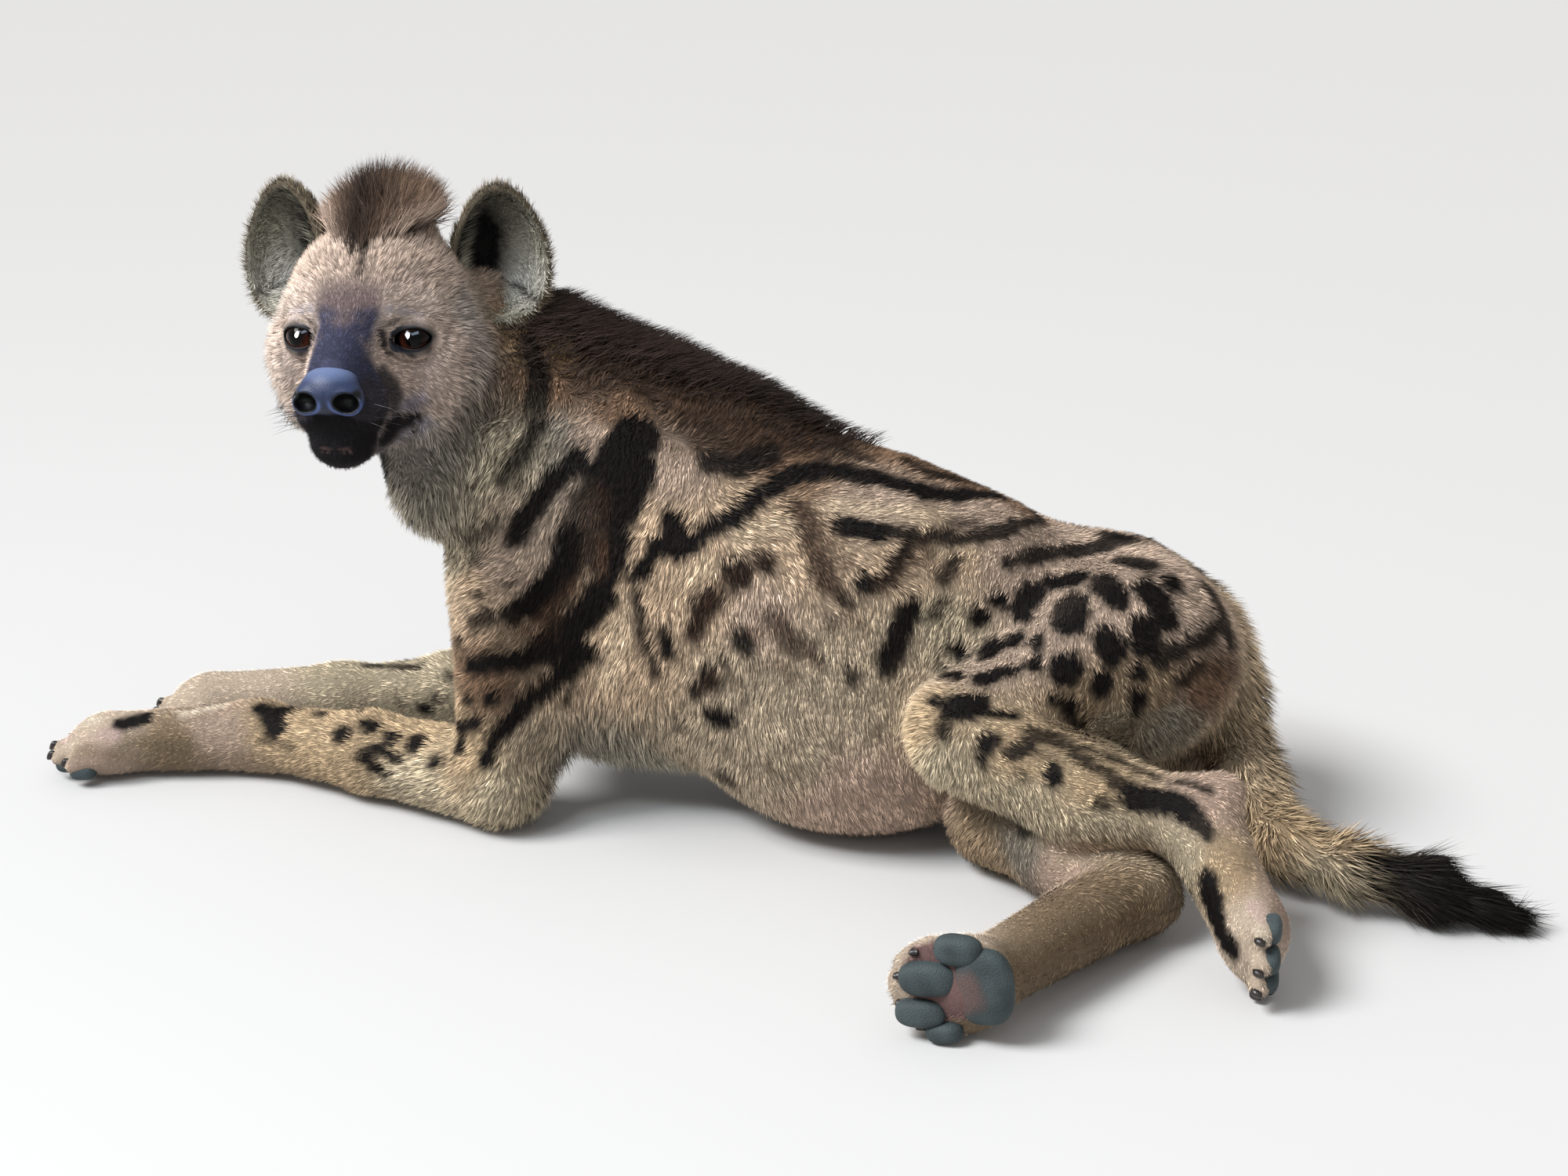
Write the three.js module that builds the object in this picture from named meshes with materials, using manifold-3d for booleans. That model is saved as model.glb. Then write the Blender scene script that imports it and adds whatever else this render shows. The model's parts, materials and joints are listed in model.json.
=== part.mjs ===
// Spotted hyena, life size, lying propped on its elbows with its hips rolled onto the right
// side and its head turned square to its left flank. Millimetres, +Z up, floor at Z = 0,
// +X towards the tail, -Y towards the animal's left side.
//
// The flesh is a set of fields: each part of the body is a smooth union of limbs (tapered
// capsules) and blobs (ellipsoids) between named joints. A skin is found by casting rays from a
// line inside the part out to the field's zero, ring after ring, and lofting the rings.

import * as THREE from 'three';
import { LoftGeometry } from 'three/addons/geometries/LoftGeometry.js';
import { mergeVertices } from 'three/addons/utils/BufferGeometryUtils.js';
import Module from 'manifold-3d';

const wasm = await Module();
wasm.setup();

const V = (x, y, z) => new THREE.Vector3(x, y, z);
const UP = V(0, 0, 1);

// Driving dimensions

const GAP = 0.5;                       // between touching pieces
const FLOOR_SIZE = 3000;
const CAST_LIMIT = 420;                // longest ray from an axis to the coat
const EYE_SPAN = 103;                  // between the centres of the eyes
const EYE_RADIUS = 15.5;
const EYE_SINK = 8.5;                  // of an eyeball's centre below the face
const LID_RADIUS = 4;
const EAR_HEIGHT = 128;
const EAR_WIDTH = 98;
const EAR_DEPTH = 46;
const EAR_WALL = 7;
const LIP_RADIUS = 6;
const MOUTH_RADIUS = 1.8;
const TOE_RADIUS = 14;
const CLAW_LENGTH = 13;
const CLAW_RADIUS = 5;

// Joints of the lying pose

const JOINT = {
  rump: V(366, 8, 142),
  pelvis: V(312, -2, 156),
  loin: V(195, -18, 180),
  belly: V(60, -32, 186),
  ribs: V(-85, -20, 246),
  withers: V(-186, -2, 312),
  neck: V(-276, 10, 386),
  atlas: V(-332, -18, 442),
  shoulderLeft: V(-246, -108, 236),
  elbowLeft: V(-250, -118, 47),
  wristLeft: V(-512, -26, 36),
  pawLeft: V(-670, -56, 31),
  shoulderRight: V(-220, 92, 236),
  elbowRight: V(-208, 124, 47),
  wristRight: V(-460, 82, 36),
  pawRight: V(-606, 60, 31),
  hipLeft: V(326, -60, 182),
  kneeLeft: V(188, -188, 148),
  hockLeft: V(388, -262, 112),
  footLeft: V(436, -364, 46),
  hipRight: V(330, 30, 84),
  kneeRight: V(222, -140, 54),
  hockRight: V(334, -262, 38),
  footRight: V(200, -452, 45),
};

// Fields

// A tapered capsule from a to b.
const limb = (a, radiusA, b, radiusB) => {
  const axis = b.clone().sub(a);
  const lengthSq = axis.lengthSq();
  return (p) => {
    const t = THREE.MathUtils.clamp(p.clone().sub(a).dot(axis) / lengthSq, 0, 1);
    return p.distanceTo(a.clone().addScaledVector(axis, t)) - (radiusA + (radiusB - radiusA) * t);
  };
};

// An ellipsoid: radii along `along`, across it, and along `up` as near as it can be.
const blob = (centre, radii, along = V(1, 0, 0), up = UP) => {
  const first = along.clone().normalize();
  const second = up.clone().cross(first).normalize();
  const third = first.clone().cross(second);
  return (p) => {
    const d = p.clone().sub(centre);
    const q = [d.dot(first) / radii[0], d.dot(second) / radii[1], d.dot(third) / radii[2]];
    const near = Math.hypot(...q);
    const slope = Math.hypot(q[0] / radii[0], q[1] / radii[1], q[2] / radii[2]);
    return slope < 1e-9 ? -Math.min(...radii) : (near * (near - 1)) / slope;
  };
};

const smoothMin = (a, b, k) => {
  const h = Math.max(k - Math.abs(a - b), 0) / k;
  return Math.min(a, b) - (h * h * k) / 4;
};

const flesh = (k, ...parts) => (p) => parts.reduce((d, part) => smoothMin(d, part(p), k), 1e6);

// The head's own frame: side towards its left, forward to the nose, up to the crown.

const EYE_LINE = V(-354, -155, 474);
const HEAD_PITCH = THREE.MathUtils.degToRad(5.7);
const HEAD_ROLL = THREE.MathUtils.degToRad(-1.4);
const headFrame = new THREE.Matrix4().makeTranslation(EYE_LINE)
  .multiply(new THREE.Matrix4().makeRotationX(-HEAD_PITCH))
  .multiply(new THREE.Matrix4().makeRotationY(HEAD_ROLL));
const headFrameBack = headFrame.clone().invert();
const L = (side, forward, up) => V(side, -forward, up);
const H = (side, forward, up) => L(side, forward, up).applyMatrix4(headFrame);
const headDir = (side, forward, up) => L(side, forward, up).transformDirection(headFrame);
const inHead = (field) => (p) => field(p.clone().applyMatrix4(headFrameBack));
const both = (make) => [make(1), make(-1)];

const headField = inHead(flesh(22,
  blob(L(0, -84, 24), [82, 88, 70]),
  blob(L(0, -40, 38), [54, 50, 42]),
  limb(L(0, -4, 8), 38, L(0, 58, -20), 27),
  limb(L(0, 6, -36), 48, L(0, 52, -48), 34),
  ...both((s) => blob(L(s * 60, -66, -22), [40, 62, 54])),
  ...both((s) => blob(L(s * 46, -66, -62), [38, 56, 40])),
  ...both((s) => limb(L(s * 28, -4, 26), 19, L(s * 54, -24, 20), 17)),
  ...both((s) => blob(L(s * 22, 54, -54), [20, 24, 20])),
  limb(L(0, -20, -78), 34, L(0, 56, -84), 18),
));

const trunkField = flesh(60,
  limb(JOINT.rump, 74, JOINT.pelvis, 104),
  limb(JOINT.pelvis, 108, JOINT.loin, 122),
  blob(JOINT.belly, [190, 146, 176]),
  blob(V(80, -58, 104), [156, 132, 112]),
  blob(JOINT.ribs, [160, 134, 186]),
  blob(JOINT.withers, [116, 108, 148]),
  blob(V(-216, -26, 190), [72, 84, 104]),
  blob(V(-150, -20, 130), [110, 96, 96]),
);

const neckField = flesh(50,
  limb(V(-160, 0, 330), 126, JOINT.neck, 94),
  limb(JOINT.neck, 94, JOINT.atlas, 82),
  blob(V(-324, -56, 356), [46, 56, 62]),
);

// Lofted bodies

// How far a ray from inside the field runs until it leaves it, not below the floor.
const reach = (field, from, dir, level = 0) => {
  let near = 0;
  let far = 0;
  while (far < CAST_LIMIT) {
    const gap = field(from.clone().addScaledVector(dir, far)) - level;
    if (gap > 0) break;
    near = far;
    far += Math.max(-gap * 0.7, 1.5);
  }
  for (let i = 0; i < 18; i += 1) {
    const middle = (near + far) / 2;
    if (field(from.clone().addScaledVector(dir, middle)) > level) far = middle;
    else near = middle;
  }
  return dir.z < 0 ? Math.min(far, from.z / -dir.z) : far;
};

const surfacePoint = (field, from, dir) => {
  const unit = dir.clone().normalize();
  return from.clone().addScaledVector(unit, reach(field, from, unit));
};

const capTilts = (count) => Array.from({ length: count },
  (_, i) => THREE.MathUtils.degToRad(82 - (82 / count) * i));

// A closed skin round a curve inside a field: rings square to the curve, and rounded ends.
const skinRings = (field, curve, rings, sides, level = 0, caps = 3) => {
  const sections = [];
  const ring = (t, tilt) => {
    const centre = curve.getPoint(t);
    const along = curve.getTangent(t);
    const left = UP.clone().cross(along);
    if (left.lengthSq() < 1e-2) left.set(1, 0, 0);
    const top = along.clone().cross(left).normalize();
    left.copy(top).cross(along).normalize();
    sections.push(Array.from({ length: sides }, (_, j) => {
      const a = (2 * Math.PI * j) / sides;
      const dir = left.clone().multiplyScalar(Math.cos(a)).addScaledVector(top, Math.sin(a))
        .multiplyScalar(Math.cos(tilt)).addScaledVector(along, Math.sin(tilt)).normalize();
      return centre.clone().addScaledVector(dir, reach(field, centre, dir, level));
    }));
  };
  capTilts(caps).forEach((a) => ring(0, -a));
  for (let i = 0; i < rings; i += 1) ring(i / (rings - 1), 0);
  capTilts(caps).reverse().forEach((a) => ring(1, a));
  return sections;
};

const curveOf = (...points) => new THREE.CatmullRomCurve3(points, false, 'centripetal');

// A closed three.js geometry as a manifold solid.
const solidOf = (geometry) => {
  const bare = new THREE.BufferGeometry();
  bare.setAttribute('position', geometry.attributes.position);
  bare.setIndex(geometry.index);
  const merged = mergeVertices(bare, 1e-4);
  const corners = merged.index.array;
  const triVerts = [];
  for (let i = 0; i < corners.length; i += 3) {
    const [a, b, c] = corners.slice(i, i + 3);
    if (a !== b && b !== c && c !== a) triVerts.push(a, b, c);
  }
  return new wasm.Manifold(new wasm.Mesh({
    numProp: 3,
    vertProperties: Float32Array.from(merged.attributes.position.array),
    triVerts: Uint32Array.from(triVerts),
  }));
};

// A loft through rings whose first and last are drawn together to one point each.
const poleRing = (ring) => {
  const middle = ring.reduce((sum, p) => sum.add(p), V(0, 0, 0)).divideScalar(ring.length);
  return ring.map(() => middle.clone());
};
const loftSolid = (rings) => {
  const sections = [poleRing(rings[0]), ...rings, poleRing(rings[rings.length - 1])];
  const solid = solidOf(new LoftGeometry(sections));
  if (solid.volume() > 0) return solid;
  return solidOf(new LoftGeometry(sections.map((ring) => [...ring].reverse())));
};

const skinSolid = (field, curve, rings, sides, level, caps) =>
  loftSolid(skinRings(field, curve, rings, sides, level, caps));

const union = (first, ...others) => others.reduce((whole, piece) => whole.add(piece), first);
const cutBy = (solid, cutters) => cutters.reduce((left, cutter) => left.subtract(cutter), solid);

const largest = (solid) => solid.decompose()
  .reduce((best, piece) => (piece.volume() > best.volume() ? piece : best));

const floorBlock = solidOf(new THREE.BoxGeometry(FLOOR_SIZE, FLOOR_SIZE, FLOOR_SIZE)
  .translate(0, 0, -FLOOR_SIZE / 2));

// A tube along a curve through the points, with round-about `sides` sides.
const tube = (points, radius, steps, sides) => {
  const section = new THREE.Shape(new THREE.EllipseCurve(0, 0, radius, radius).getPoints(sides)
    .slice(0, sides));
  const path = curveOf(...points);
  return solidOf(new THREE.ExtrudeGeometry(section, { steps, extrudePath: path, bevelEnabled: false }));
};

// An ellipsoid of few faces, turned so that its first two radii lie along `along` and `across`.
const pebble = (centre, radii, along, across, sides = 8, rows = 5) => {
  const out = along.clone().cross(across);
  const frame = new THREE.Matrix4().makeBasis(along, across, out).setPosition(centre);
  return solidOf(new THREE.SphereGeometry(1, sides, rows).scale(...radii).applyMatrix4(frame));
};

// Locks: flat, tapered and bent. Each has four corners a ring and comes to a point.

const LOCK_SINK = 14;
const LOCK_FLATNESS = 0.28;
const lock = (root, lean, out, length, width, bend, grow = 0) => {
  const along = lean.clone().normalize();
  const across = along.clone().cross(out).normalize();
  const flat = across.clone().cross(along);
  const slant = Math.hypot(1, LOCK_FLATNESS);
  const ring = (t, size) => {
    const middle = root.clone().addScaledVector(along, (length + 6 * grow) * t)
      .addScaledVector(flat, bend * length * t * Math.abs(t));
    const half = (size * width) / 2;
    const reachAcross = half + (size > 0 ? (grow * slant) / LOCK_FLATNESS : 0);
    const reachFlat = half * LOCK_FLATNESS + (size > 0 ? grow * slant : 0);
    return [[1, 0], [0, 1], [-1, 0], [0, -1]].map(([x, y]) => middle.clone()
      .addScaledVector(across, x * reachAcross).addScaledVector(flat, y * reachFlat));
  };
  return loftSolid([ring(-LOCK_SINK / length, 0.8), ring(0.45, 1), ring(1, 0)]);
};

// The same draw each time: a small generator seeded with a number.
const seeded = (seed) => {
  let state = seed;
  return () => {
    state = (state * 1664525 + 1013904223) % 4294967296;
    return state / 4294967296;
  };
};
const spread = (draw, amount) => (draw() * 2 - 1) * amount;

// Colours and finishes

const COAT = new THREE.MeshStandardMaterial({ color: 0xb39a78, roughness: 0.95 });
const EAR_COAT = new THREE.MeshStandardMaterial({ color: 0x7f7a66, roughness: 0.95 });
const EYE_GLASS = new THREE.MeshStandardMaterial({ color: 0x1c120c, roughness: 0.08 });
const NOSE_LEATHER = new THREE.MeshStandardMaterial({ color: 0x20242e, roughness: 0.4 });
const CLAW_HORN = new THREE.MeshStandardMaterial({ color: 0x15120f, roughness: 0.35 });

const hyena = new THREE.Group();
hyena.name = 'spotted_hyena';

const addNode = (name, solid, material) => {
  const { vertProperties, triVerts } = largest(solid).getMesh();
  const geometry = new THREE.BufferGeometry();
  geometry.setAttribute('position', new THREE.BufferAttribute(vertProperties, 3));
  geometry.setIndex(new THREE.BufferAttribute(triVerts, 1));
  geometry.computeVertexNormals();
  const mesh = new THREE.Mesh(geometry, material);
  mesh.name = name;
  hyena.add(mesh);
};

// Torso and neck

const TRUNK_LINE = curveOf(V(-216, -22, 240), V(-150, -20, 240), V(-20, -30, 208),
  V(120, -28, 178), V(250, -12, 162), V(330, 2, 150), V(364, 8, 140));
const NECK_LINE = curveOf(V(-180, 0, 310), V(-240, 4, 360), V(-298, 0, 410), V(-340, -34, 444));
const HEAD_LINE = new THREE.LineCurve3(H(0, -104, 2), H(0, 62, -48));

const trunkSkin = (level) => skinSolid(trunkField, TRUNK_LINE, 17, 22, level, 2);
const headSkin = (level) => skinSolid(headField, HEAD_LINE, 14, 24, level, 3);
const trunkCut = trunkSkin(GAP);
const headCut = headSkin(GAP);

// The mane: a low core ridge, and rows of locks that rise off it and sweep back along the spine.
const NAPE = [V(-276, 2, 456), V(-200, 6, 436), V(-112, 6, 392), V(-20, 2, 344)];
const maneField = flesh(20, ...NAPE.slice(1).map((p, i) => limb(NAPE[i], 40, p, 36)));
const maneCore = skinSolid(maneField, curveOf(...NAPE), 6, 10, 0, 1);
const backField = (p) => Math.min(trunkField(p), neckField(p), maneField(p));
const MANE_LINE = curveOf(V(-316, -12, 440), V(-270, 4, 410), V(-190, 4, 350), V(-100, 0, 286),
  V(20, -6, 226), V(200, 0, 190));
const MANE_ROWS = [-28, 0, 28];
const MANE_STATIONS = 12;
const MANE_LENGTH = 74;
const MANE_WIDTH = 40;

const mane = () => {
  const draw = seeded(7);
  const locks = [];
  const rootAt = (t, offset) => {
    const back = MANE_LINE.getTangent(t);
    const side = UP.clone().cross(back).normalize();
    const rise = back.clone().cross(side).normalize();
    return surfacePoint(backField, MANE_LINE.getPoint(t).addScaledVector(side, offset), rise);
  };
  for (let i = 0; i < MANE_STATIONS; i += 1) {
    MANE_ROWS.forEach((row, k) => {
      const t = (i + 0.5 * (k % 2)) / MANE_STATIONS;
      const offset = row * (1 - 0.35 * t) + spread(draw, 3);
      const root = rootAt(t, offset);
      const back = rootAt(t + 0.03, offset).sub(root).normalize();
      const side = UP.clone().cross(back).normalize();
      const rise = back.clone().cross(side);
      const out = rise.clone().addScaledVector(side, row * 0.012).normalize();
      const lean = back.clone().addScaledVector(out, 0.5 - 0.2 * t)
        .addScaledVector(side, spread(draw, 0.1));
      const length = MANE_LENGTH * (1 - 0.33 * t) * (1 + spread(draw, 0.1));
      locks.push(lock(root, lean, out, length, MANE_WIDTH * (1 - 0.15 * t), -0.12));
    });
  }
  return locks;
};

// Trunk, neck and mane are modelled whole and parted by a thin cut square to the neck.
const NECK_BASE = V(-214, 0, 372);
const NECK_RISE = V(-0.66, 0, 0.75).normalize();
const halfSpace = (start) => solidOf(new THREE.BoxGeometry(FLOOR_SIZE, FLOOR_SIZE, FLOOR_SIZE)
  .translate(0, 0, FLOOR_SIZE / 2)
  .applyQuaternion(new THREE.Quaternion().setFromUnitVectors(UP, NECK_RISE))
  .translate(...NECK_BASE.clone().addScaledVector(NECK_RISE, start).toArray()));
const neckSkin = (level) => skinSolid(neckField, NECK_LINE, 8, 18, level, 2);
const body = union(trunkSkin(0), neckSkin(0), maneCore, ...mane());
const bodyCut = union(trunkCut, neckSkin(GAP));
addNode('torso', body.subtract(halfSpace(0)), COAT);
const neckPart = body.intersect(halfSpace(GAP));

// Head: eyes, lids, nose, nostrils, mouth and lips

const eyeCentre = (s) => {
  const inside = H((s * EYE_SPAN) / 2, -60, 0);
  const face = surfacePoint(headField, inside, headDir(0, 1, 0));
  return face.addScaledVector(headDir(s * 0.3, 1, 0).normalize(), -EYE_SINK);
};
const eyeBall = (s, grow) => solidOf(new THREE.SphereGeometry(EYE_RADIUS + grow, 12, 8)
  .rotateX(Math.PI / 2).translate(...eyeCentre(s).toArray()));

// A lid is an arc over or under the eye, with its ends sunk in the face.
const lid = (s, rise) => {
  const centre = eyeCentre(s);
  const points = [-100, -60, -20, 20, 60, 100].map((degrees) => {
    const a = THREE.MathUtils.degToRad(degrees);
    const side = Math.sin(a) * (EYE_RADIUS + 4);
    const up = rise * Math.max(Math.cos(a), -0.1) * (EYE_RADIUS - 1);
    const depth = 9 - 7 * Math.abs(Math.sin(a));
    return centre.clone().addScaledVector(headDir(1, 0, 0), side)
      .addScaledVector(headDir(0, 0, 1), up).addScaledVector(headDir(s * 0.3, 1, 0), depth);
  });
  return tube(points, LID_RADIUS, 6, 5);
};

const noseField = inHead(flesh(8,
  blob(L(0, 80, -34), [30, 20, 21]),
  blob(L(0, 76, -22), [22, 20, 14]),
));
const noseSkin = (level) => skinSolid(noseField,
  new THREE.LineCurve3(H(0, 74, -33), H(0, 84, -34)), 2, 14, level, 3);
const nostril = (s) => pebble(H(s * 12, 97, -36), [7, 5, 12], headDir(1, 0, 0.3),
  headDir(-0.3, 0, 1), 6, 4);

// The mouth runs from corner to corner over the front of the jaws.
const MOUTH = [[-46, 8, -66], [-40, 40, -72], [-24, 70, -78], [0, 84, -74]];
const mouthPoints = [...MOUTH, ...MOUTH.slice(0, -1).reverse().map(([s, f, u]) => [-s, f, u])]
  .map(([side, forward, up]) => surfacePoint(headField, H(side * 0.3, forward * 0.5, up),
    headDir(side * 0.7, forward * 0.5 + 1, 0)));
const lips = tube(mouthPoints, LIP_RADIUS, 12, 5);
const mouth = tube(mouthPoints.map((p) => p.clone().addScaledVector(
  p.clone().sub(H(0, 20, -74)).normalize(), LIP_RADIUS - 0.5)), MOUTH_RADIUS, 12, 4);

// The crest between the ears: a core to half its height, and locks that stand up and fan out.
// Each row has its place forward in the head's frame, its half width and its count of locks.
const crestField = inHead(blob(L(4, -112, 72), [50, 50, 46]));
const crestSkin = (level) => skinSolid(crestField,
  new THREE.LineCurve3(H(4, -130, 72), H(4, -94, 72)), 3, 12, level, 2);
const CREST_ROWS = [[-148, 30, 3], [-122, 44, 4], [-92, 40, 4]];
const CREST_LENGTH = 43;
const CREST_WIDTH = 40;
const crest = (grow) => {
  const draw = seeded(11);
  return CREST_ROWS.flatMap(([forward, half, count], row) =>
    Array.from({ length: count }, (_, i) => {
      const side = 4 + half * ((2 * i) / (count - 1) - 1) + spread(draw, 4);
      const root = surfacePoint(crestField, H(side * 0.5, forward, 60),
        headDir(side * 0.012, (forward + 112) * 0.006, 1));
      const lean = headDir(side * 0.012 + spread(draw, 0.1), -0.3 + 0.1 * row, 1);
      return lock(root, lean, headDir(0, 1, 0.2), CREST_LENGTH * (1 + spread(draw, 0.12)), CREST_WIDTH,
        0.06, grow);
    }));
};
const crestCut = union(headCut, crestSkin(GAP), ...crest(GAP));

const headWhole = union(headSkin(0), ...both((s) => lid(s, 1)), ...both((s) => lid(s, -1)), lips,
  crestSkin(0), ...crest(0));
addNode('head', cutBy(headWhole, [mouth, noseSkin(GAP), ...both((s) => eyeBall(s, GAP))]), COAT);
addNode('nose', cutBy(noseSkin(0), both(nostril)), NOSE_LEATHER);

// Ears: a bowl lofted from the back of the ear over the rim and down into its cup.

const earRing = (s, inset, depth, drop) => {
  const centre = H(s * 108, -116, 66);
  const open = headDir(s * 0.38, 0.92, 0.04);
  const side = headDir(1, 0, 0).addScaledVector(open, -headDir(1, 0, 0).dot(open)).normalize();
  const up = open.clone().cross(side).normalize();
  if (up.z < 0) up.negate();
  return Array.from({ length: 18 }, (_, j) => {
    const a = (2 * Math.PI * j) / 18;
    const narrow = 0.9 + 0.12 * Math.sin(a);
    const w = (EAR_WIDTH / 2) * narrow * inset * Math.cos(a) - s * drop * 0.5;
    const h = (EAR_HEIGHT / 2) * inset * Math.sin(a) - drop;
    return centre.clone().addScaledVector(side, w).addScaledVector(up, h)
      .addScaledVector(open, -depth);
  });
};
const EAR_BACK = [0.2, 0.5, 0.78, 0.94];
const earHull = (s, grow = 0) => loftSolid([
  ...EAR_BACK.map((r) => earRing(s, r + grow / EAR_WIDTH,
    (EAR_DEPTH + grow) * Math.sqrt(1 - r * r), 24 * (1 - r))),
  earRing(s, 1 + (2 * grow) / EAR_WIDTH, 0, 0), earRing(s, 1 + (2 * grow) / EAR_WIDTH, -grow, 0),
]);
const earCup = (s) => {
  const wall = 1 - (2 * EAR_WALL) / EAR_WIDTH;
  return loftSolid([
    ...[0.2, 0.5, 0.8].map((r) =>
      earRing(s, wall * r, (EAR_DEPTH - EAR_WALL) * Math.sqrt(1 - r * r), 20 * (1 - r))),
    earRing(s, wall, 0, 0), earRing(s, wall, -2, 0),
  ]);
};
const earRoot = (s) => skinSolid(limb(H(s * 52, -106, 30), 30, H(s * 92, -132, 42), 26),
  curveOf(H(s * 52, -106, 30), H(s * 92, -132, 42)), 2, 10, 0, 1);
const earRootCut = (s) => skinSolid(limb(H(s * 52, -106, 30), 30, H(s * 92, -132, 42), 26),
  curveOf(H(s * 52, -106, 30), H(s * 92, -132, 42)), 2, 10, GAP, 1);
const sideName = (s) => (s > 0 ? 'left' : 'right');
[1, -1].forEach((s) => {
  addNode(`ear_${sideName(s)}`, cutBy(union(earHull(s), earRoot(s)), [earCup(s), crestCut]),
    EAR_COAT);
  addNode(`eye_${sideName(s)}`, eyeBall(s, 0), EYE_GLASS);
});
addNode('neck', cutBy(neckPart,
  [crestCut, ...both((s) => union(earHull(s, GAP), earRootCut(s)))]), COAT);

// Legs: each piece has a field, the line it is lofted round, and its rings and sides.

const leg = (field, points, rings, sides) => {
  const curve = curveOf(...points);
  return {
    solid: skinSolid(field, curve, rings, sides, 0, 2),
    cut: skinSolid(field, curve, rings, sides, GAP, 2),
  };
};

const shoulder = (joint, elbow, side) => leg(flesh(30,
  blob(V(joint.x + 20, side * 98, 270), [74, 42, 126], V(1, 0, 0.1)),
  limb(joint, 58, elbow, 50),
  blob(V(joint.x + 34, side * 108, 130), [56, 42, 88]),
), [V(joint.x + 8, side * 100, 320), V(joint.x + 4, elbow.y, 62)], 7, 14);

const forearm = (elbow, middle, wrist) => leg(flesh(20,
  limb(elbow, 50, middle, 42),
  limb(middle, 42, wrist, 36),
), [elbow, middle, wrist], 4, 12);

const PIECES = {
  shoulder_left: shoulder(JOINT.shoulderLeft, JOINT.elbowLeft, -1),
  shoulder_right: shoulder(JOINT.shoulderRight, JOINT.elbowRight, 1),
  forearm_left: forearm(JOINT.elbowLeft, V(-388, -68, 44), JOINT.wristLeft),
  forearm_right: forearm(JOINT.elbowRight, V(-346, 96, 44), JOINT.wristRight),
  thigh_left: leg(flesh(40,
    blob(V(312, -82, 178), [110, 72, 96], V(1, 0.3, 0)),
    limb(JOINT.hipLeft, 94, JOINT.kneeLeft, 60),
  ), [JOINT.hipLeft, V(262, -118, 172), JOINT.kneeLeft], 7, 16),
  thigh_right: leg(limb(JOINT.hipRight, 92, JOINT.kneeRight, 60),
    [JOINT.hipRight, V(276, -58, 70), JOINT.kneeRight], 5, 14),
  shank_left: leg(flesh(24,
    limb(JOINT.kneeLeft, 58, V(290, -232, 116), 50),
    limb(V(290, -232, 116), 48, JOINT.hockLeft, 36),
    limb(JOINT.hockLeft, 34, V(410, -262, 138), 24),
  ), [JOINT.kneeLeft, V(290, -232, 116), JOINT.hockLeft, V(404, -262, 130)], 7, 12),
  shank_right: leg(flesh(24,
    limb(JOINT.kneeRight, 60, V(286, -214, 50), 50),
    limb(V(286, -214, 50), 50, JOINT.hockRight, 40),
    limb(JOINT.hockRight, 38, V(352, -266, 40), 34),
  ), [JOINT.kneeRight, V(286, -214, 50), JOINT.hockRight, V(348, -266, 40)], 6, 12),
};
const NEIGHBOURS = {
  shoulder_left: [],
  shoulder_right: [],
  forearm_left: ['shoulder_left'],
  forearm_right: ['shoulder_right'],
  thigh_left: [],
  thigh_right: ['thigh_left'],
  shank_left: ['thigh_left', 'thigh_right'],
  shank_right: ['thigh_right', 'thigh_left', 'shank_left'],
};
Object.entries(NEIGHBOURS).forEach(([name, others]) => addNode(name,
  cutBy(PIECES[name].solid, [bodyCut, ...others.map((other) => PIECES[other].cut)]), COAT));

// Paws: a foot from the wrist or hock, four toes with their pads, a main pad and four claws.

const TOES = [[0, 33], [15, 12], [15, -12], [0, -33]];

const paw = (name, from, fromRadius, centre, toeDir, soleDir, cutters) => {
  const sole = soleDir.clone().normalize();
  const ahead = toeDir.clone().addScaledVector(sole, -toeDir.dot(sole)).normalize();
  const across = sole.clone().cross(ahead);
  const at = (along, side, out) => centre.clone().addScaledVector(ahead, along)
    .addScaledVector(across, side).addScaledVector(sole, out);
  const core = flesh(16,
    limb(from, fromRadius, at(-20, 0, 0), 33),
    blob(at(-12, 0, 2), [40, 44, 28], ahead, sole),
  );
  const foot = skinSolid(core, curveOf(from, at(-40, 0, 0), at(-6, 0, 0)), 4, 12, 0, 2);
  const toes = TOES.map(([along, side]) => {
    const root = at(along - 24, side * 0.7, 4);
    const tip = at(along + 14, side, 8);
    return skinSolid(limb(root, TOE_RADIUS, tip, TOE_RADIUS - 1), curveOf(root, tip), 2, 6, 0, 1);
  });
  const pads = TOES.map(([along, side]) =>
    pebble(at(along + 8, side, 19), [17, 12, 10], ahead, across, 6, 3));
  const mainPad = pebble(at(-26, 0, 19), [20, 30, 12], ahead, across, 8, 4);
  addNode(name, cutBy(union(foot, ...toes, ...pads, mainPad), [floorBlock, ...cutters]), COAT);
  TOES.forEach(([along, side], i) => {
    const root = at(along + 14 + TOE_RADIUS - 1 + GAP, side, 6);
    const stations = [0, 0.5, 1].map((t) => {
      const middle = root.clone().addScaledVector(ahead, CLAW_LENGTH * t)
        .addScaledVector(sole, 9 * t * t);
      const radius = CLAW_RADIUS * (1 - 0.85 * t * t);
      return Array.from({ length: 5 }, (_, j) => middle.clone()
        .addScaledVector(across, radius * 0.7 * Math.cos((Math.PI * j) / 2.5))
        .addScaledVector(sole, radius * Math.sin((Math.PI * j) / 2.5)));
    });
    addNode(`claw_${name}_${i + 1}`, cutBy(loftSolid(stations), [floorBlock]), CLAW_HORN);
  });
};

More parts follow.
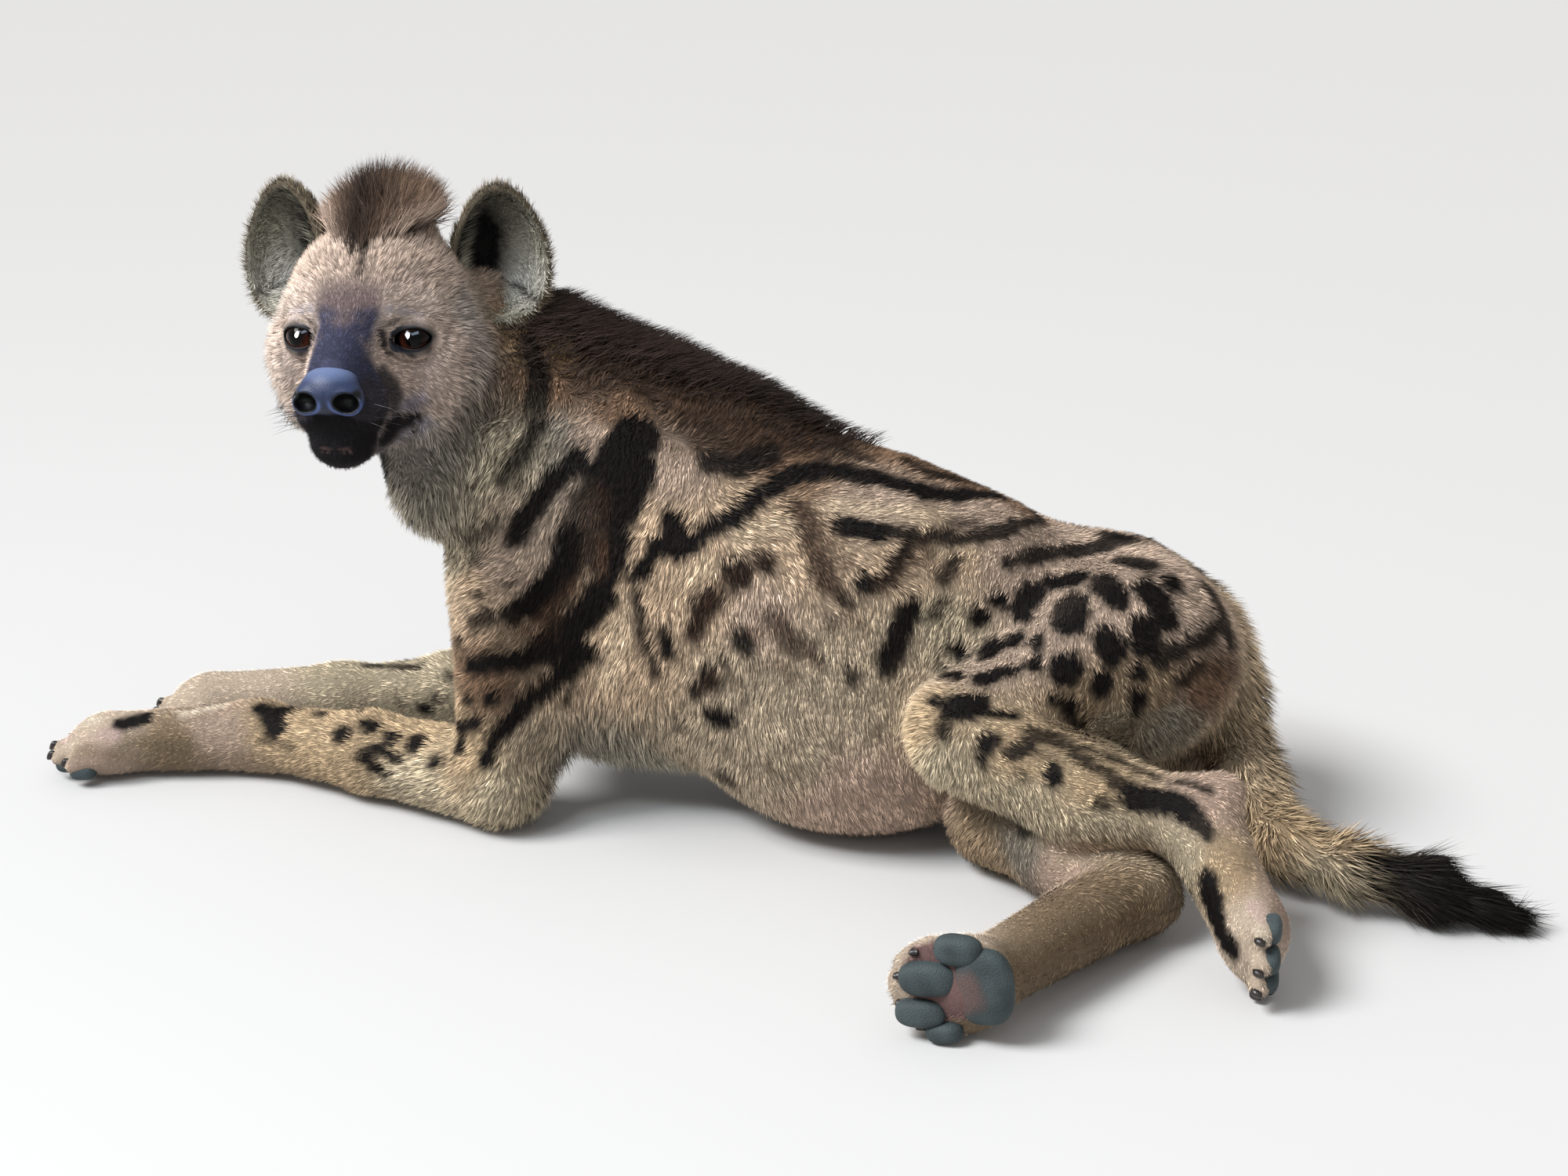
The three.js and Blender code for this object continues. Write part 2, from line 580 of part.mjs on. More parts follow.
paw('paw_front_left', JOINT.wristLeft, 36, JOINT.pawLeft, V(-1, -0.28, 0), V(0, 0, -1),
  [PIECES.forearm_left.cut]);
paw('paw_front_right', JOINT.wristRight, 36, JOINT.pawRight, V(-1, -0.14, 0), V(0, 0, -1),
  [PIECES.forearm_right.cut]);
paw('foot_hind_left', JOINT.hockLeft, 38, JOINT.footLeft, V(0, -0.93, -0.37), V(1, 0, 0),
  [PIECES.shank_left.cut, PIECES.shank_right.cut]);
paw('foot_hind_right', JOINT.hockRight, 40, JOINT.footRight, V(-1, -0.15, -0.1), V(-0.1, -1, 0),
  [PIECES.shank_right.cut]);

// Tail

const TAIL_POINTS = [V(362, 44, 148), V(410, 6, 118), V(434, -72, 68), V(468, -146, 38),
  V(524, -184, 38), V(578, -200, 33), V(626, -209, 24), V(650, -212, 16)];
const TAIL_RADII = [46, 42, 36, 33, 30, 25, 14, 6];
const tailField = flesh(20, ...TAIL_POINTS.slice(1).map((p, i) =>
  limb(TAIL_POINTS[i], TAIL_RADII[i], p, TAIL_RADII[i + 1])));
const TAIL_LINE = curveOf(...TAIL_POINTS);

// The brush: locks all round the last third of the tail that lie back along it to its tip.
// Each row has its place along the tail and its count of locks.
const BRUSH_ROWS = [[0.66, 5], [0.8, 5], [0.93, 4]];
const BRUSH_LENGTH = 62;
const BRUSH_WIDTH = 32;
const brush = () => {
  const draw = seeded(23);
  const locks = [];
  BRUSH_ROWS.forEach(([t, count], row) => {
    const centre = TAIL_LINE.getPointAt(t);
    const along = TAIL_LINE.getTangentAt(t);
    const left = UP.clone().cross(along).normalize();
    const top = along.clone().cross(left);
    for (let i = 0; i < count; i += 1) {
      const a = (2 * Math.PI * (i + 0.5 * (row % 2))) / count + spread(draw, 0.15);
      const out = left.clone().multiplyScalar(Math.cos(a)).addScaledVector(top, Math.sin(a));
      const root = surfacePoint(tailField, centre, out).addScaledVector(out, -3);
      const lean = along.clone().addScaledVector(out, 0.16 - 0.03 * row);
      const length = BRUSH_LENGTH * (1 + spread(draw, 0.12));
      locks.push(lock(root, lean, out, length, BRUSH_WIDTH - 4 * row, -0.05));
    }
  });
  return locks;
};
addNode('tail', cutBy(union(skinSolid(tailField, TAIL_LINE, 15, 12, 0, 2), ...brush()), [floorBlock,
  bodyCut, PIECES.thigh_left.cut, PIECES.thigh_right.cut, PIECES.shank_left.cut]), COAT);

// The origin is on the floor, under the middle of the whole animal's box.
const middle = new THREE.Box3().setFromObject(hyena).getCenter(V(0, 0, 0));
hyena.position.set(-middle.x, -middle.y, 0);

export default hyena;
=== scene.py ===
# %% [markdown]
# A spotted hyena at life size, lying propped on its elbows with its head turned to the
# viewer. The lesson builds it as a model maker would: the flesh as one smooth skin, then the
# bare parts of the face and feet, and last the coat, tuft by tuft.
#
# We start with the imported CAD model. It tells us where everything is, and its box is the
# size that the finished animal has to keep.

# %% Load the frame
import json
import math

import bpy
import numpy as np
from mathutils import Matrix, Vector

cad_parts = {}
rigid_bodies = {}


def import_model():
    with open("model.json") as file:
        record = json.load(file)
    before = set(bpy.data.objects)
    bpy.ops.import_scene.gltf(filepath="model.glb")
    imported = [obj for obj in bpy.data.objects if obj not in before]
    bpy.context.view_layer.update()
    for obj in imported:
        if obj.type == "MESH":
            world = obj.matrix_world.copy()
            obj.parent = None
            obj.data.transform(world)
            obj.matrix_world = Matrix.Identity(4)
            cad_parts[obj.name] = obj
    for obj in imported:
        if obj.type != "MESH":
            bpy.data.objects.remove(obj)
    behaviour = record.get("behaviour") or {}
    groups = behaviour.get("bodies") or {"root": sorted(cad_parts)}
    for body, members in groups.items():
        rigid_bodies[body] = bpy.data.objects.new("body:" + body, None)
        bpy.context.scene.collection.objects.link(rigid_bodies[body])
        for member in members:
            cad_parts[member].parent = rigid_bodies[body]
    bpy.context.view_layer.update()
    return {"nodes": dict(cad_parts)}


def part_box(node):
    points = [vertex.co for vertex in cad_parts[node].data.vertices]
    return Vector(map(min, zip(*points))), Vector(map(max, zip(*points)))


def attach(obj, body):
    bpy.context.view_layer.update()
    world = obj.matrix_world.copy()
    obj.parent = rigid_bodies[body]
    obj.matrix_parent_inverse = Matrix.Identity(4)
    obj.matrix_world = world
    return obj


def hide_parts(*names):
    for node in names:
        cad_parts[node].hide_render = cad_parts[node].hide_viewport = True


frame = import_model()
print("CAD nodes:", len(frame["nodes"]))

# %% [markdown]
# All shapes below are written in millimetres, in the same working frame as the CAD source:
# X runs to the tail, Z is up, and the animal's left side faces -Y. Fields describe the flesh.
# A field is a function of position that is negative inside and positive outside, so fields
# can be joined softly, the way muscles run into one another.

# %% Fields
UP = np.array([0.0, 0.0, 1.0])


def vec(*values):
    return np.array(values, float)


def unit(v):
    return v / np.linalg.norm(v, axis=-1, keepdims=True)


def limb(a, radius_a, b, radius_b):
    """Distance to the line from a to b, less a radius that runs evenly from end to end."""
    a, b = np.asarray(a, float), np.asarray(b, float)
    axis = b - a

    def field(p):
        t = np.clip((p - a) @ axis / (axis @ axis), 0, 1)
        near = a + t[..., None] * axis
        return np.linalg.norm(p - near, axis=-1) - (radius_a + (radius_b - radius_a) * t)

    return field


def blob(centre, radii, along=(1, 0, 0), up=UP):
    """Roughly the distance to an ellipsoid: q(q-1) over the length of q's slope."""
    centre, radii = np.asarray(centre, float), np.asarray(radii, float)
    first = unit(np.asarray(along, float))
    second = unit(np.cross(up, first))
    axes = np.stack([first, second, np.cross(first, second)])

    def field(p):
        q = ((p - centre) @ axes.T) / radii
        near = np.linalg.norm(q, axis=-1)
        slope = np.maximum(np.linalg.norm(q / radii, axis=-1), 1e-6)
        return near * (near - 1) / slope

    return field


def smooth_min(a, b, k):
    """The smaller of a and b, rounded where they are within k of each other."""
    h = np.maximum(k - np.abs(a - b), 0) / k
    return np.minimum(a, b) - h * h * k / 4


def flesh(k, *parts):
    """Several fields joined softly over k millimetres."""

    def field(p):
        whole = parts[0](p)
        for part in parts[1:]:
            whole = smooth_min(whole, part(p), k)
        return whole

    return field


# %% [markdown]
# The skeleton comes next: the main joints, and the head's own frame with its axes to the
# animal's left, forward to the nose and up to the crown.

# %% Joints and the head's frame
JOINT = dict(
    rump=(366, 8, 142), pelvis=(312, -2, 156), loin=(195, -18, 180), belly=(60, -32, 186),
    ribs=(-85, -20, 246), withers=(-186, -2, 312), neck=(-276, 10, 386), atlas=(-332, -18, 442),
    shoulder_left=(-246, -108, 236), elbow_left=(-250, -118, 47), wrist_left=(-512, -26, 36),
    paw_left=(-670, -56, 31), shoulder_right=(-220, 92, 236), elbow_right=(-208, 124, 47),
    wrist_right=(-460, 82, 36), paw_right=(-606, 60, 31), hip_left=(326, -60, 182),
    knee_left=(188, -188, 148), hock_left=(388, -262, 112), foot_left=(436, -364, 46),
    hip_right=(330, 30, 84), knee_right=(222, -140, 54), hock_right=(334, -262, 38),
    foot_right=(200, -452, 45),
)
JOINT = {name: vec(*place) for name, place in JOINT.items()}
EYE_LINE = vec(-354, -155, 474)
HEAD_PITCH, HEAD_ROLL = 5.7, -1.4
turn = Matrix.Rotation(-math.radians(HEAD_PITCH), 3, "X") @ Matrix.Rotation(
    math.radians(HEAD_ROLL), 3, "Y")
HEAD_AXES = np.array(turn)


def local(side, forward, up):
    return vec(side, -forward, up)


def on_head(side, forward, up):
    """A point of the head's frame, in the working frame."""
    return EYE_LINE + HEAD_AXES @ local(side, forward, up)


def head_dir(side, forward, up):
    return unit(HEAD_AXES @ local(side, forward, up))


def to_head(p):
    """Points of the working frame, in the head's frame: to the left, back and up."""
    return (p - EYE_LINE) @ HEAD_AXES


def from_head(p):
    return p @ HEAD_AXES.T + EYE_LINE


def in_head(field):
    """A field written in the head's frame, read at points of the working frame."""
    return lambda p: field(to_head(p))


SIDES = (1, -1)
print("joints:", len(JOINT))

# %% [markdown]
# Each part of the animal has its field, the same forms as in the CAD solids: ellipsoids for
# the masses of flesh, and tapered rods for whatever runs from joint to joint. Every number is
# in millimetres, and the first of each group says how softly its forms run together.

# %% The flesh of the head, trunk and neck
head_field = in_head(flesh(
    22,
    blob(local(0, -84, 24), (82, 88, 70)),
    blob(local(0, -40, 38), (54, 50, 42)),
    limb(local(0, -4, 8), 38, local(0, 58, -20), 27),
    limb(local(0, 6, -36), 48, local(0, 52, -48), 34),
    *(blob(local(s * 60, -66, -22), (40, 62, 54)) for s in SIDES),
    *(blob(local(s * 46, -66, -62), (38, 56, 40)) for s in SIDES),
    *(limb(local(s * 28, -4, 26), 19, local(s * 54, -24, 20), 17) for s in SIDES),
    *(blob(local(s * 22, 54, -54), (20, 24, 20)) for s in SIDES),
    limb(local(0, -20, -78), 34, local(0, 56, -84), 18),
))
trunk_field = flesh(
    60,
    limb(JOINT["rump"], 74, JOINT["pelvis"], 104),
    limb(JOINT["pelvis"], 108, JOINT["loin"], 122),
    blob(JOINT["belly"], (190, 146, 176)),
    blob((80, -58, 104), (156, 132, 112)),
    blob(JOINT["ribs"], (160, 134, 186)),
    blob(JOINT["withers"], (116, 108, 148)),
    blob((-216, -26, 190), (72, 84, 104)),
    blob((-150, -20, 130), (110, 96, 96)),
)
neck_field = flesh(
    50,
    limb((-160, 0, 330), 126, JOINT["neck"], 94),
    limb(JOINT["neck"], 94, JOINT["atlas"], 82),
    blob((-324, -56, 356), (46, 56, 62)),
)
NAPE = [vec(-276, 2, 456), vec(-200, 6, 436), vec(-112, 6, 392), vec(-20, 2, 344)]
nape_field = flesh(20, *(limb(a, 40, b, 36) for a, b in zip(NAPE, NAPE[1:])))

# %% The flesh of the legs and tail


def shoulder(joint, elbow, side):
    x = joint[0]
    return flesh(
        30,
        blob((x + 20, side * 98, 270), (74, 42, 126), (1, 0, 0.1)),
        limb(joint, 58, elbow, 50),
        blob((x + 34, side * 108, 130), (56, 42, 88)),
    )


def forearm(elbow, middle, wrist):
    return flesh(20, limb(elbow, 50, middle, 42), limb(middle, 42, wrist, 36))


SHIN_LEFT, SHIN_RIGHT = vec(290, -232, 116), vec(286, -214, 50)
thigh_left = flesh(
    40,
    blob((312, -82, 178), (110, 72, 96), (1, 0.3, 0)),
    limb(JOINT["hip_left"], 94, JOINT["knee_left"], 60),
)
thigh_right = limb(JOINT["hip_right"], 92, JOINT["knee_right"], 60)
shank_left = flesh(
    24,
    limb(JOINT["knee_left"], 58, SHIN_LEFT, 50),
    limb(SHIN_LEFT, 48, JOINT["hock_left"], 36),
    limb(JOINT["hock_left"], 34, (410, -262, 138), 24),
)
shank_right = flesh(
    24,
    limb(JOINT["knee_right"], 60, SHIN_RIGHT, 50),
    limb(SHIN_RIGHT, 50, JOINT["hock_right"], 40),
    limb(JOINT["hock_right"], 38, (352, -266, 40), 34),
)
TAIL_POINTS = np.array([
    (362, 44, 148), (410, 6, 118), (434, -72, 68), (468, -146, 38), (524, -184, 38),
    (578, -200, 33), (626, -209, 24), (650, -212, 16)], float)
TAIL_RADII = (46, 42, 36, 33, 30, 25, 14, 6)
tail_field = flesh(20, *(
    limb(a, ra, b, rb)
    for a, b, ra, rb in zip(TAIL_POINTS, TAIL_POINTS[1:], TAIL_RADII, TAIL_RADII[1:])))

# %% [markdown]
# A paw is a foot that ends in four toes. Each paw has its own frame: ahead along the toes,
# across them, and out through the sole.

# %% The flesh of the paws
TOES = ((0, 33), (15, 12), (15, -12), (0, -33))
TOE_RADIUS = 14


class Paw:
    """A paw's frame and field, from the joint above it, its middle and two directions."""

    def __init__(self, start, start_radius, centre, toe_dir, sole_dir, spread=None):
        self.centre = centre
        self.sole = unit(vec(*sole_dir))
        ahead = vec(*toe_dir)
        self.ahead = unit(ahead - (ahead @ self.sole) * self.sole)
        self.across = np.cross(self.sole, self.ahead)
        foot = flesh(
            16,
            limb(start, start_radius, self.at(-20, 0, 0), 33),
            blob(self.at(-12, 0, 2), (40, 44, 28), self.ahead, self.sole),
        )
        toes = [limb(self.at(a - 24, s * 0.7, 4), TOE_RADIUS, self.at(a + 14, s, 8),
                     TOE_RADIUS - 1) for a, s in TOES]
        splayed = [blob(self.at(5, 0, 12), spread, self.ahead, self.sole)] if spread else []
        self.field = flesh(6, foot, *toes, *splayed)

    def at(self, along, side, out):
        return self.centre + self.ahead * along + self.across * side + self.sole * out


PAWS = {
    "paw_front_left": Paw(JOINT["wrist_left"], 36, JOINT["paw_left"], (-1, -0.28, 0), (0, 0, -1)),
    "paw_front_right": Paw(JOINT["wrist_right"], 36, JOINT["paw_right"], (-1, -0.14, 0),
                           (0, 0, -1)),
    "foot_hind_left": Paw(JOINT["hock_left"], 38, JOINT["foot_left"], (0, -0.93, -0.37),
                          (1, 0, 0)),
    "foot_hind_right": Paw(JOINT["hock_right"], 40, JOINT["foot_right"], (-1, -0.15, -0.1),
                           (-0.1, -1, 0), (50, 49, 13)),
}
print("paws:", ", ".join(PAWS))

# %% [markdown]
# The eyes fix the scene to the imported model. Their place follows from the head's field, so
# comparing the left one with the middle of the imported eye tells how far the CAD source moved
# the animal to centre it. Every point is shifted by that and scaled to metres.

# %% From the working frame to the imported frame
EYE_SPAN, EYE_SINK = 103, 8.5


def cast(field, start, direction, first=0.0, rounds=90):
    """Where rays meet the field's zero: each step is four fifths of the distance left.

    A ray that passes the surface by gives the point where it came nearest to it."""
    along = np.full(np.shape(start)[:-1], float(first))
    nearest, best = along, np.full(along.shape, np.inf)
    for _ in range(rounds):
        left = np.abs(field(start + along[..., None] * direction))
        nearest, best = np.where(left < best, along, nearest), np.minimum(left, best)
        along = along + 0.8 * left
    return start + nearest[..., None] * direction


def gaze(s):
    """Where an eye looks: ahead, and a little to its own side."""
    return head_dir(s * 0.3, 1, 0)


def eye_centre(s):
    face = cast(head_field, on_head(s * EYE_SPAN / 2, -60, 0), head_dir(0, 1, 0))
    return face - EYE_SINK * gaze(s)


EYES = {s: eye_centre(s) for s in SIDES}
eye_low, eye_high = (np.array(corner) * 1000 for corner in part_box("eye_left"))
SHIFT = (eye_low + eye_high) / 2 - EYES[1]


def packed(points):
    """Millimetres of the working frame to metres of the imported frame."""
    return (np.asarray(points) + SHIFT) / 1000


print("shift in mm:", np.round(SHIFT, 2))

# %% [markdown]
# The camera stands where the photo's did: eight degrees round from the animal's side, twenty
# degrees up, with a short telephoto lens. The same numbers turn a pixel of the 2000 by 1500
# picture into a ray, so a marking can be read off the photo and laid on the skin behind it.
# A ray runs free for two metres before it can meet the head, and for one and a half before
# it can meet anything else.

# %% Camera
AZIMUTH, ELEVATION, DISTANCE = math.radians(8), math.radians(20), 2650
AIM = vec(0, 0, 205)
LENS, SENSOR, PICTURE = 65, 36, (2000, 1500)
camera_back = vec(math.sin(AZIMUTH) * math.cos(ELEVATION),
                  -math.cos(AZIMUTH) * math.cos(ELEVATION), math.sin(ELEVATION))
camera_right = vec(math.cos(AZIMUTH), math.sin(AZIMUTH), 0)
camera_up = np.cross(camera_back, camera_right)
camera_place = AIM + camera_back * DISTANCE
FOCAL = LENS / SENSOR * PICTURE[0]
CLEAR_OF_HEAD, CLEAR_OF_ALL = 2000, 1500
camera = bpy.data.objects.new("camera", bpy.data.cameras.new("camera"))
camera.data.lens, camera.data.sensor_width = LENS, SENSOR
camera.matrix_world = Matrix.Translation(packed(camera_place)) @ Matrix(
    np.stack([camera_right, camera_up, camera_back], 1)).to_4x4()
bpy.context.scene.collection.objects.link(camera)
bpy.context.scene.camera = camera


def pixel_rays(pixels):
    """Directions from the camera through pixels of the picture, counted from its top left."""
    x = (pixels[:, 0] - PICTURE[0] / 2) / FOCAL
    y = (PICTURE[1] / 2 - pixels[:, 1]) / FOCAL
    return unit(x[:, None] * camera_right + y[:, None] * camera_up - camera_back)


print("camera:", [round(x, 3) for x in camera.matrix_world.translation])

# %% [markdown]
# The CAD solids reach to the tips of the coat. The skin lies under it, so every part is drawn
# in by the depth of its own coat: hardly at all on the face, and more where the hair is long.

# %% Every part under its coat
COAT_DEPTH = dict(trunk=11, nape=29, neck=13, head=5, crest=11, arm=15, forearm=7, thigh=10,
                  shank=8, paw=4, tail=10)
FLOOR_GAP = 1.5


def drawn_in(field, depth):
    return lambda p: field(p) + depth


def under_coat(part, field):
    return drawn_in(field, COAT_DEPTH[part])


def under_mane(p):
    """Extra depth over the withers, where the mane stands: a smooth bump 18 mm deep."""
    off = (p[..., :2] - (-120, 0)) / (110, 90)
    return 18 * np.exp(-(off * off).sum(-1)) * (p[..., 2] > 300)


def foreleg(side, middle, s):
    """Shoulder, forearm and paw of one side under their coat."""
    top, elbow, wrist = (JOINT[f"{joint}_{side}"] for joint in ("shoulder", "elbow", "wrist"))
    return flesh(
        20,
        under_coat("arm", shoulder(top, elbow, s)),
        under_coat("forearm", forearm(elbow, middle, wrist)),
        under_coat("paw", PAWS["paw_front_" + side].field),
    )


foreleg_left = foreleg("left", vec(-388, -68, 44), -1)
foreleg_right = foreleg("right", vec(-346, 96, 44), 1)
hindleg_left = flesh(16, under_coat("shank", shank_left),
                     under_coat("paw", PAWS["foot_hind_left"].field))
hindleg_right = flesh(16, under_coat("thigh", thigh_right), under_coat("shank", shank_right),
                      under_coat("paw", PAWS["foot_hind_right"].field))
THROAT = blob((-306, -92, 330), (34, 42, 50))
core_parts = flesh(44, under_coat("trunk", trunk_field), under_coat("neck", neck_field),
                   under_coat("nape", nape_field), THROAT)


def core(p):
    return core_parts(p) + under_mane(p)


bare_head = under_coat("head", head_field)
CREST_MOUND = in_head(blob(local(4, -112, 72), (50, 50, 46)))
CHIN = in_head(blob(local(0, 50, -84), (27, 22, 19)))
EAR_ROOTS = [limb(on_head(s * 56, -124, 16), 22, on_head(s * 84, -160, 26), 15) for s in SIDES]
head_and_ears = flesh(14, bare_head, CHIN, *EAR_ROOTS, under_coat("crest", CREST_MOUND))
left_thigh = under_coat("thigh", thigh_left)
TAIL_CORE = limb(TAIL_POINTS[5], 15, TAIL_POINTS[7], 8)
tail_flesh = flesh(8, under_coat("tail", tail_field), TAIL_CORE)
print("depth of the coat in mm:", COAT_DEPTH)

# %% [markdown]
# The mouth is a line read off the picture, from its corner to the middle of the lips. Rays
# through its points meet the bare head, and the other half of the mouth is its mirror. The
# eyeballs sit a little deeper than the CAD's, because lids are laid over them later.

# %% The line of the mouth and the eyes' places
MOUTH_SEEN = ((532, 538), (524, 552), (512, 565), (495, 573), (475, 577), (456, 577), (437, 574),
              (418, 572), (404, 571))
face_rays = pixel_rays(np.array(MOUTH_SEEN, float))
mouth_half = to_head(cast(bare_head, np.broadcast_to(camera_place, face_rays.shape), face_rays,
                          CLEAR_OF_HEAD))
mouth_half = mouth_half[mouth_half[:, 0] > -2]
MOUTH = from_head(np.concatenate([mouth_half, mouth_half[::-1] * vec(-1, 1, 1)]))
MOUTH_RADIUS = 1.8
EYEBALL, EYEBALL_BACK, SOCKET_GAP = 17.0, 2.2, 1.2
FACE_REACH = 170
EYE_MIDDLES = {s: EYES[s] - EYEBALL_BACK * gaze(s) for s in SIDES}


def eye_axes(s):
    """The eye's own axes: towards the outer corner, up, and along the gaze."""
    forward = gaze(s)
    side = HEAD_AXES @ vec(s, 0, 0)
    side = unit(side - (side @ forward) * forward)
    up = np.cross(forward, side)
    return side, up * np.sign(up[2]), forward


print("points of the mouth:", len(MOUTH))

# %% [markdown]
# Now the whole skin as one field. Parts that are one muscle mass flow together over several
# centimetres. Two legs that only lie on each other meet in a crease, so they are joined over a
# few millimetres. Sockets and mouth are cut away, and last the floor presses the flesh flat
# where the animal lies on it.

# %% The skin as one field


def carve(field, tool, k):
    """What is left of the field when the tool is cut away, with an edge softened over k."""
    return -smooth_min(-field, tool, k)


def face_details(p, whole):
    """Cuts the eye sockets and the line of the mouth, only where the head is near."""
    near = (whole < 40) & (np.linalg.norm(p - EYE_LINE, axis=-1) < FACE_REACH)
    if not near.any():
        return whole
    close = p[near]
    cut = whole[near]
    for middle in EYE_MIDDLES.values():
        cut = carve(cut, np.linalg.norm(close - middle, axis=-1) - (EYEBALL + SOCKET_GAP), 5)
    line = np.full(len(close), np.inf)
    for a, b in zip(MOUTH, MOUTH[1:]):
        line = np.minimum(line, limb(a, MOUTH_RADIUS, b, MOUTH_RADIUS)(close))
    cut = carve(cut, line, 3.5)
    whole = whole.copy()
    whole[near] = cut
    return whole


JOINS = ((head_and_ears, 26), (foreleg_left, 30), (foreleg_right, 30), (left_thigh, 22),
         (tail_flesh, 18), (hindleg_right, 9), (hindleg_left, 9))


def skin_field(p):
    """All parts joined, with the face's details, then cut by the floor with a soft edge."""
    whole = core(p)
    for part, k in JOINS:
        whole = smooth_min(whole, part(p), k)
    whole = face_details(p, whole)
    return -smooth_min(-whole, p[..., 2] - FLOOR_GAP, 8)


# %% [markdown]
# A field has no mesh yet. A surface net makes one: space is cut into small cubes, and every
# cube that the skin passes through gets one corner, at the middle of the points where the
# skin crosses its edges. Four cubes round a crossed edge give one face. All of it runs on
# whole arrays. The corners are then slid onto the field's zero along its slope.

# %% Reading a field and sliding onto its zero
CHUNK = 120000


def read_field(field, points):
    """The field at many points, in chunks to spare memory."""
    return np.concatenate([field(points[i:i + CHUNK]) for i in range(0, len(points), CHUNK)])


def slope(field, points, step=0.6):
    """The field's gradient by central differences along each axis."""
    shifts = np.eye(3) * step
    return np.stack([
        (read_field(field, points + s) - read_field(field, points - s)) / (2 * step)
        for s in shifts], axis=1)


def settle(field, points, rounds=2, longest=4):
    """Newton steps: each point moves by -f g / |g|^2, onto the field's zero."""
    for _ in range(rounds):
        g = slope(field, points)
        f = read_field(field, points)
        move = -f[:, None] * g / np.maximum((g * g).sum(1, keepdims=True), 0.2)
        length = np.linalg.norm(move, axis=1, keepdims=True)
        points = points + move * np.minimum(1, longest / np.maximum(length, 1e-9))
    return points


# %% [markdown]
# The net itself. Most of the space is far from the skin, so the field is read once per block
# of cubes, and again cube by cube only where that first reading is small.

# %% The net
BLOCK, NEAR_CELLS = 4, 6.5


def surface_net(field, low, high, cell):
    """Corners and four-sided faces of the field's zero, on cubes of side cell."""
    blocks = np.ceil((high - low) / (cell * BLOCK)).astype(int)
    middle = [low[k] + (np.arange(blocks[k]) + 0.5) * BLOCK * cell - cell / 2 for k in range(3)]
    grid = np.stack(np.meshgrid(*middle, indexing="ij"), -1).reshape(-1, 3)
    rough = read_field(field, grid).reshape(blocks)
    spread = np.ones((BLOCK,) * 3, bool)
    value = np.kron(rough, spread).astype(np.float32)
    near = np.kron(np.abs(rough) < NEAR_CELLS * cell, spread).astype(bool)
    index = np.argwhere(near)
    value[near] = read_field(field, low + index * cell)
    inside = value < 0
    corners = [(i, j, k) for i in (0, 1) for j in (0, 1) for k in (0, 1)]
    size = np.array(value.shape) - 1
    shifted = [inside[i:size[0] + i, j:size[1] + j, k:size[2] + k] for i, j, k in corners]
    count = sum(s.astype(np.int8) for s in shifted)
    cells = np.argwhere((count > 0) & (count < 8))
    number = np.full(size, -1, np.int32)
    number[tuple(cells.T)] = np.arange(len(cells))
    total = np.zeros((len(cells), 3))
    hits = np.zeros((len(cells), 1))
    for axis in range(3):
        for corner in corners:
            if corner[axis]:
                continue
            start = cells + corner
            end = start.copy()
            end[:, axis] += 1
            a, b = value[tuple(start.T)], value[tuple(end.T)]
            crossed = (a < 0) != (b < 0)
            t = np.where(crossed, a / np.where(crossed, a - b, 1), 0)
            point = start + t[:, None] * np.eye(3)[axis]
            total += np.where(crossed[:, None], point, 0)
            hits += crossed[:, None]
    verts = low + total / hits * cell
    faces = []
    for axis in range(3):
        u, v = (axis + 1) % 3, (axis + 2) % 3
        a = inside[tuple(slice(1, n) if k != axis else slice(0, n) for k, n in enumerate(size))]
        step = [slice(1, n) for n in size]
        step[axis] = slice(1, size[axis] + 1)
        b = inside[tuple(step)]
        edges = np.argwhere(a != b)
        leaving = a[tuple(edges.T)]
        offset = np.ones(3, int)
        offset[axis] = 0
        base = edges + offset
        around = []
        for du, dv in ((0, 0), (1, 0), (1, 1), (0, 1)):
            c = base.copy()
            c[:, u] -= du
            c[:, v] -= dv
            around.append(number[tuple(c.T)])
        quad = np.stack(around, 1)
        quad[~leaving] = quad[~leaving][:, ::-1]
        faces.append(quad)
    return verts, np.concatenate(faces)


# %% Net the skin
CELL = 6.0
LOW, HIGH = vec(-745, -520, -16), vec(690, 200, 570)
skin_verts, skin_quads = surface_net(skin_field, LOW, HIGH, CELL)
skin_verts = settle(skin_field, skin_verts)
print("skin:", len(skin_verts), "corners,", len(skin_quads), "faces")

# %% [markdown]
# A few helpers turn arrays into Blender objects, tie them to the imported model, and close rings
# of points into the small round forms that eyes, pads and claws need.

# %% Mesh helpers


def mesh_piece(name, verts, faces, material, smooth=True):
    """A mesh object at the origin from corners in millimetres and faces of one size."""
    mesh = bpy.data.meshes.new(name)
    faces = np.asarray(faces, np.int32)
    sides = faces.shape[1]
    mesh.vertices.add(len(verts))
    mesh.vertices.foreach_set("co", packed(verts).astype(np.float32).ravel())
    mesh.loops.add(faces.size)
    mesh.loops.foreach_set("vertex_index", faces.ravel())
    mesh.polygons.add(len(faces))
    mesh.polygons.foreach_set("loop_start", np.arange(len(faces), dtype=np.int32) * sides)
    mesh.update(calc_edges=True)
    mesh.polygons.foreach_set("use_smooth", np.full(len(faces), smooth))
    mesh.materials.append(material)
    piece = bpy.data.objects.new(name, mesh)
    bpy.context.scene.collection.objects.link(piece)
    return piece


def ride(piece, slot, *nodes):
    """The piece moves with the animal and may stand for CAD nodes. The slot argument is not used."""
    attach(piece, "root")
    if nodes:
        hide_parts(*nodes)
    return piece


def triangles_of(quads):
    return np.concatenate([quads[:, [0, 1, 2]], quads[:, [0, 2, 3]]])


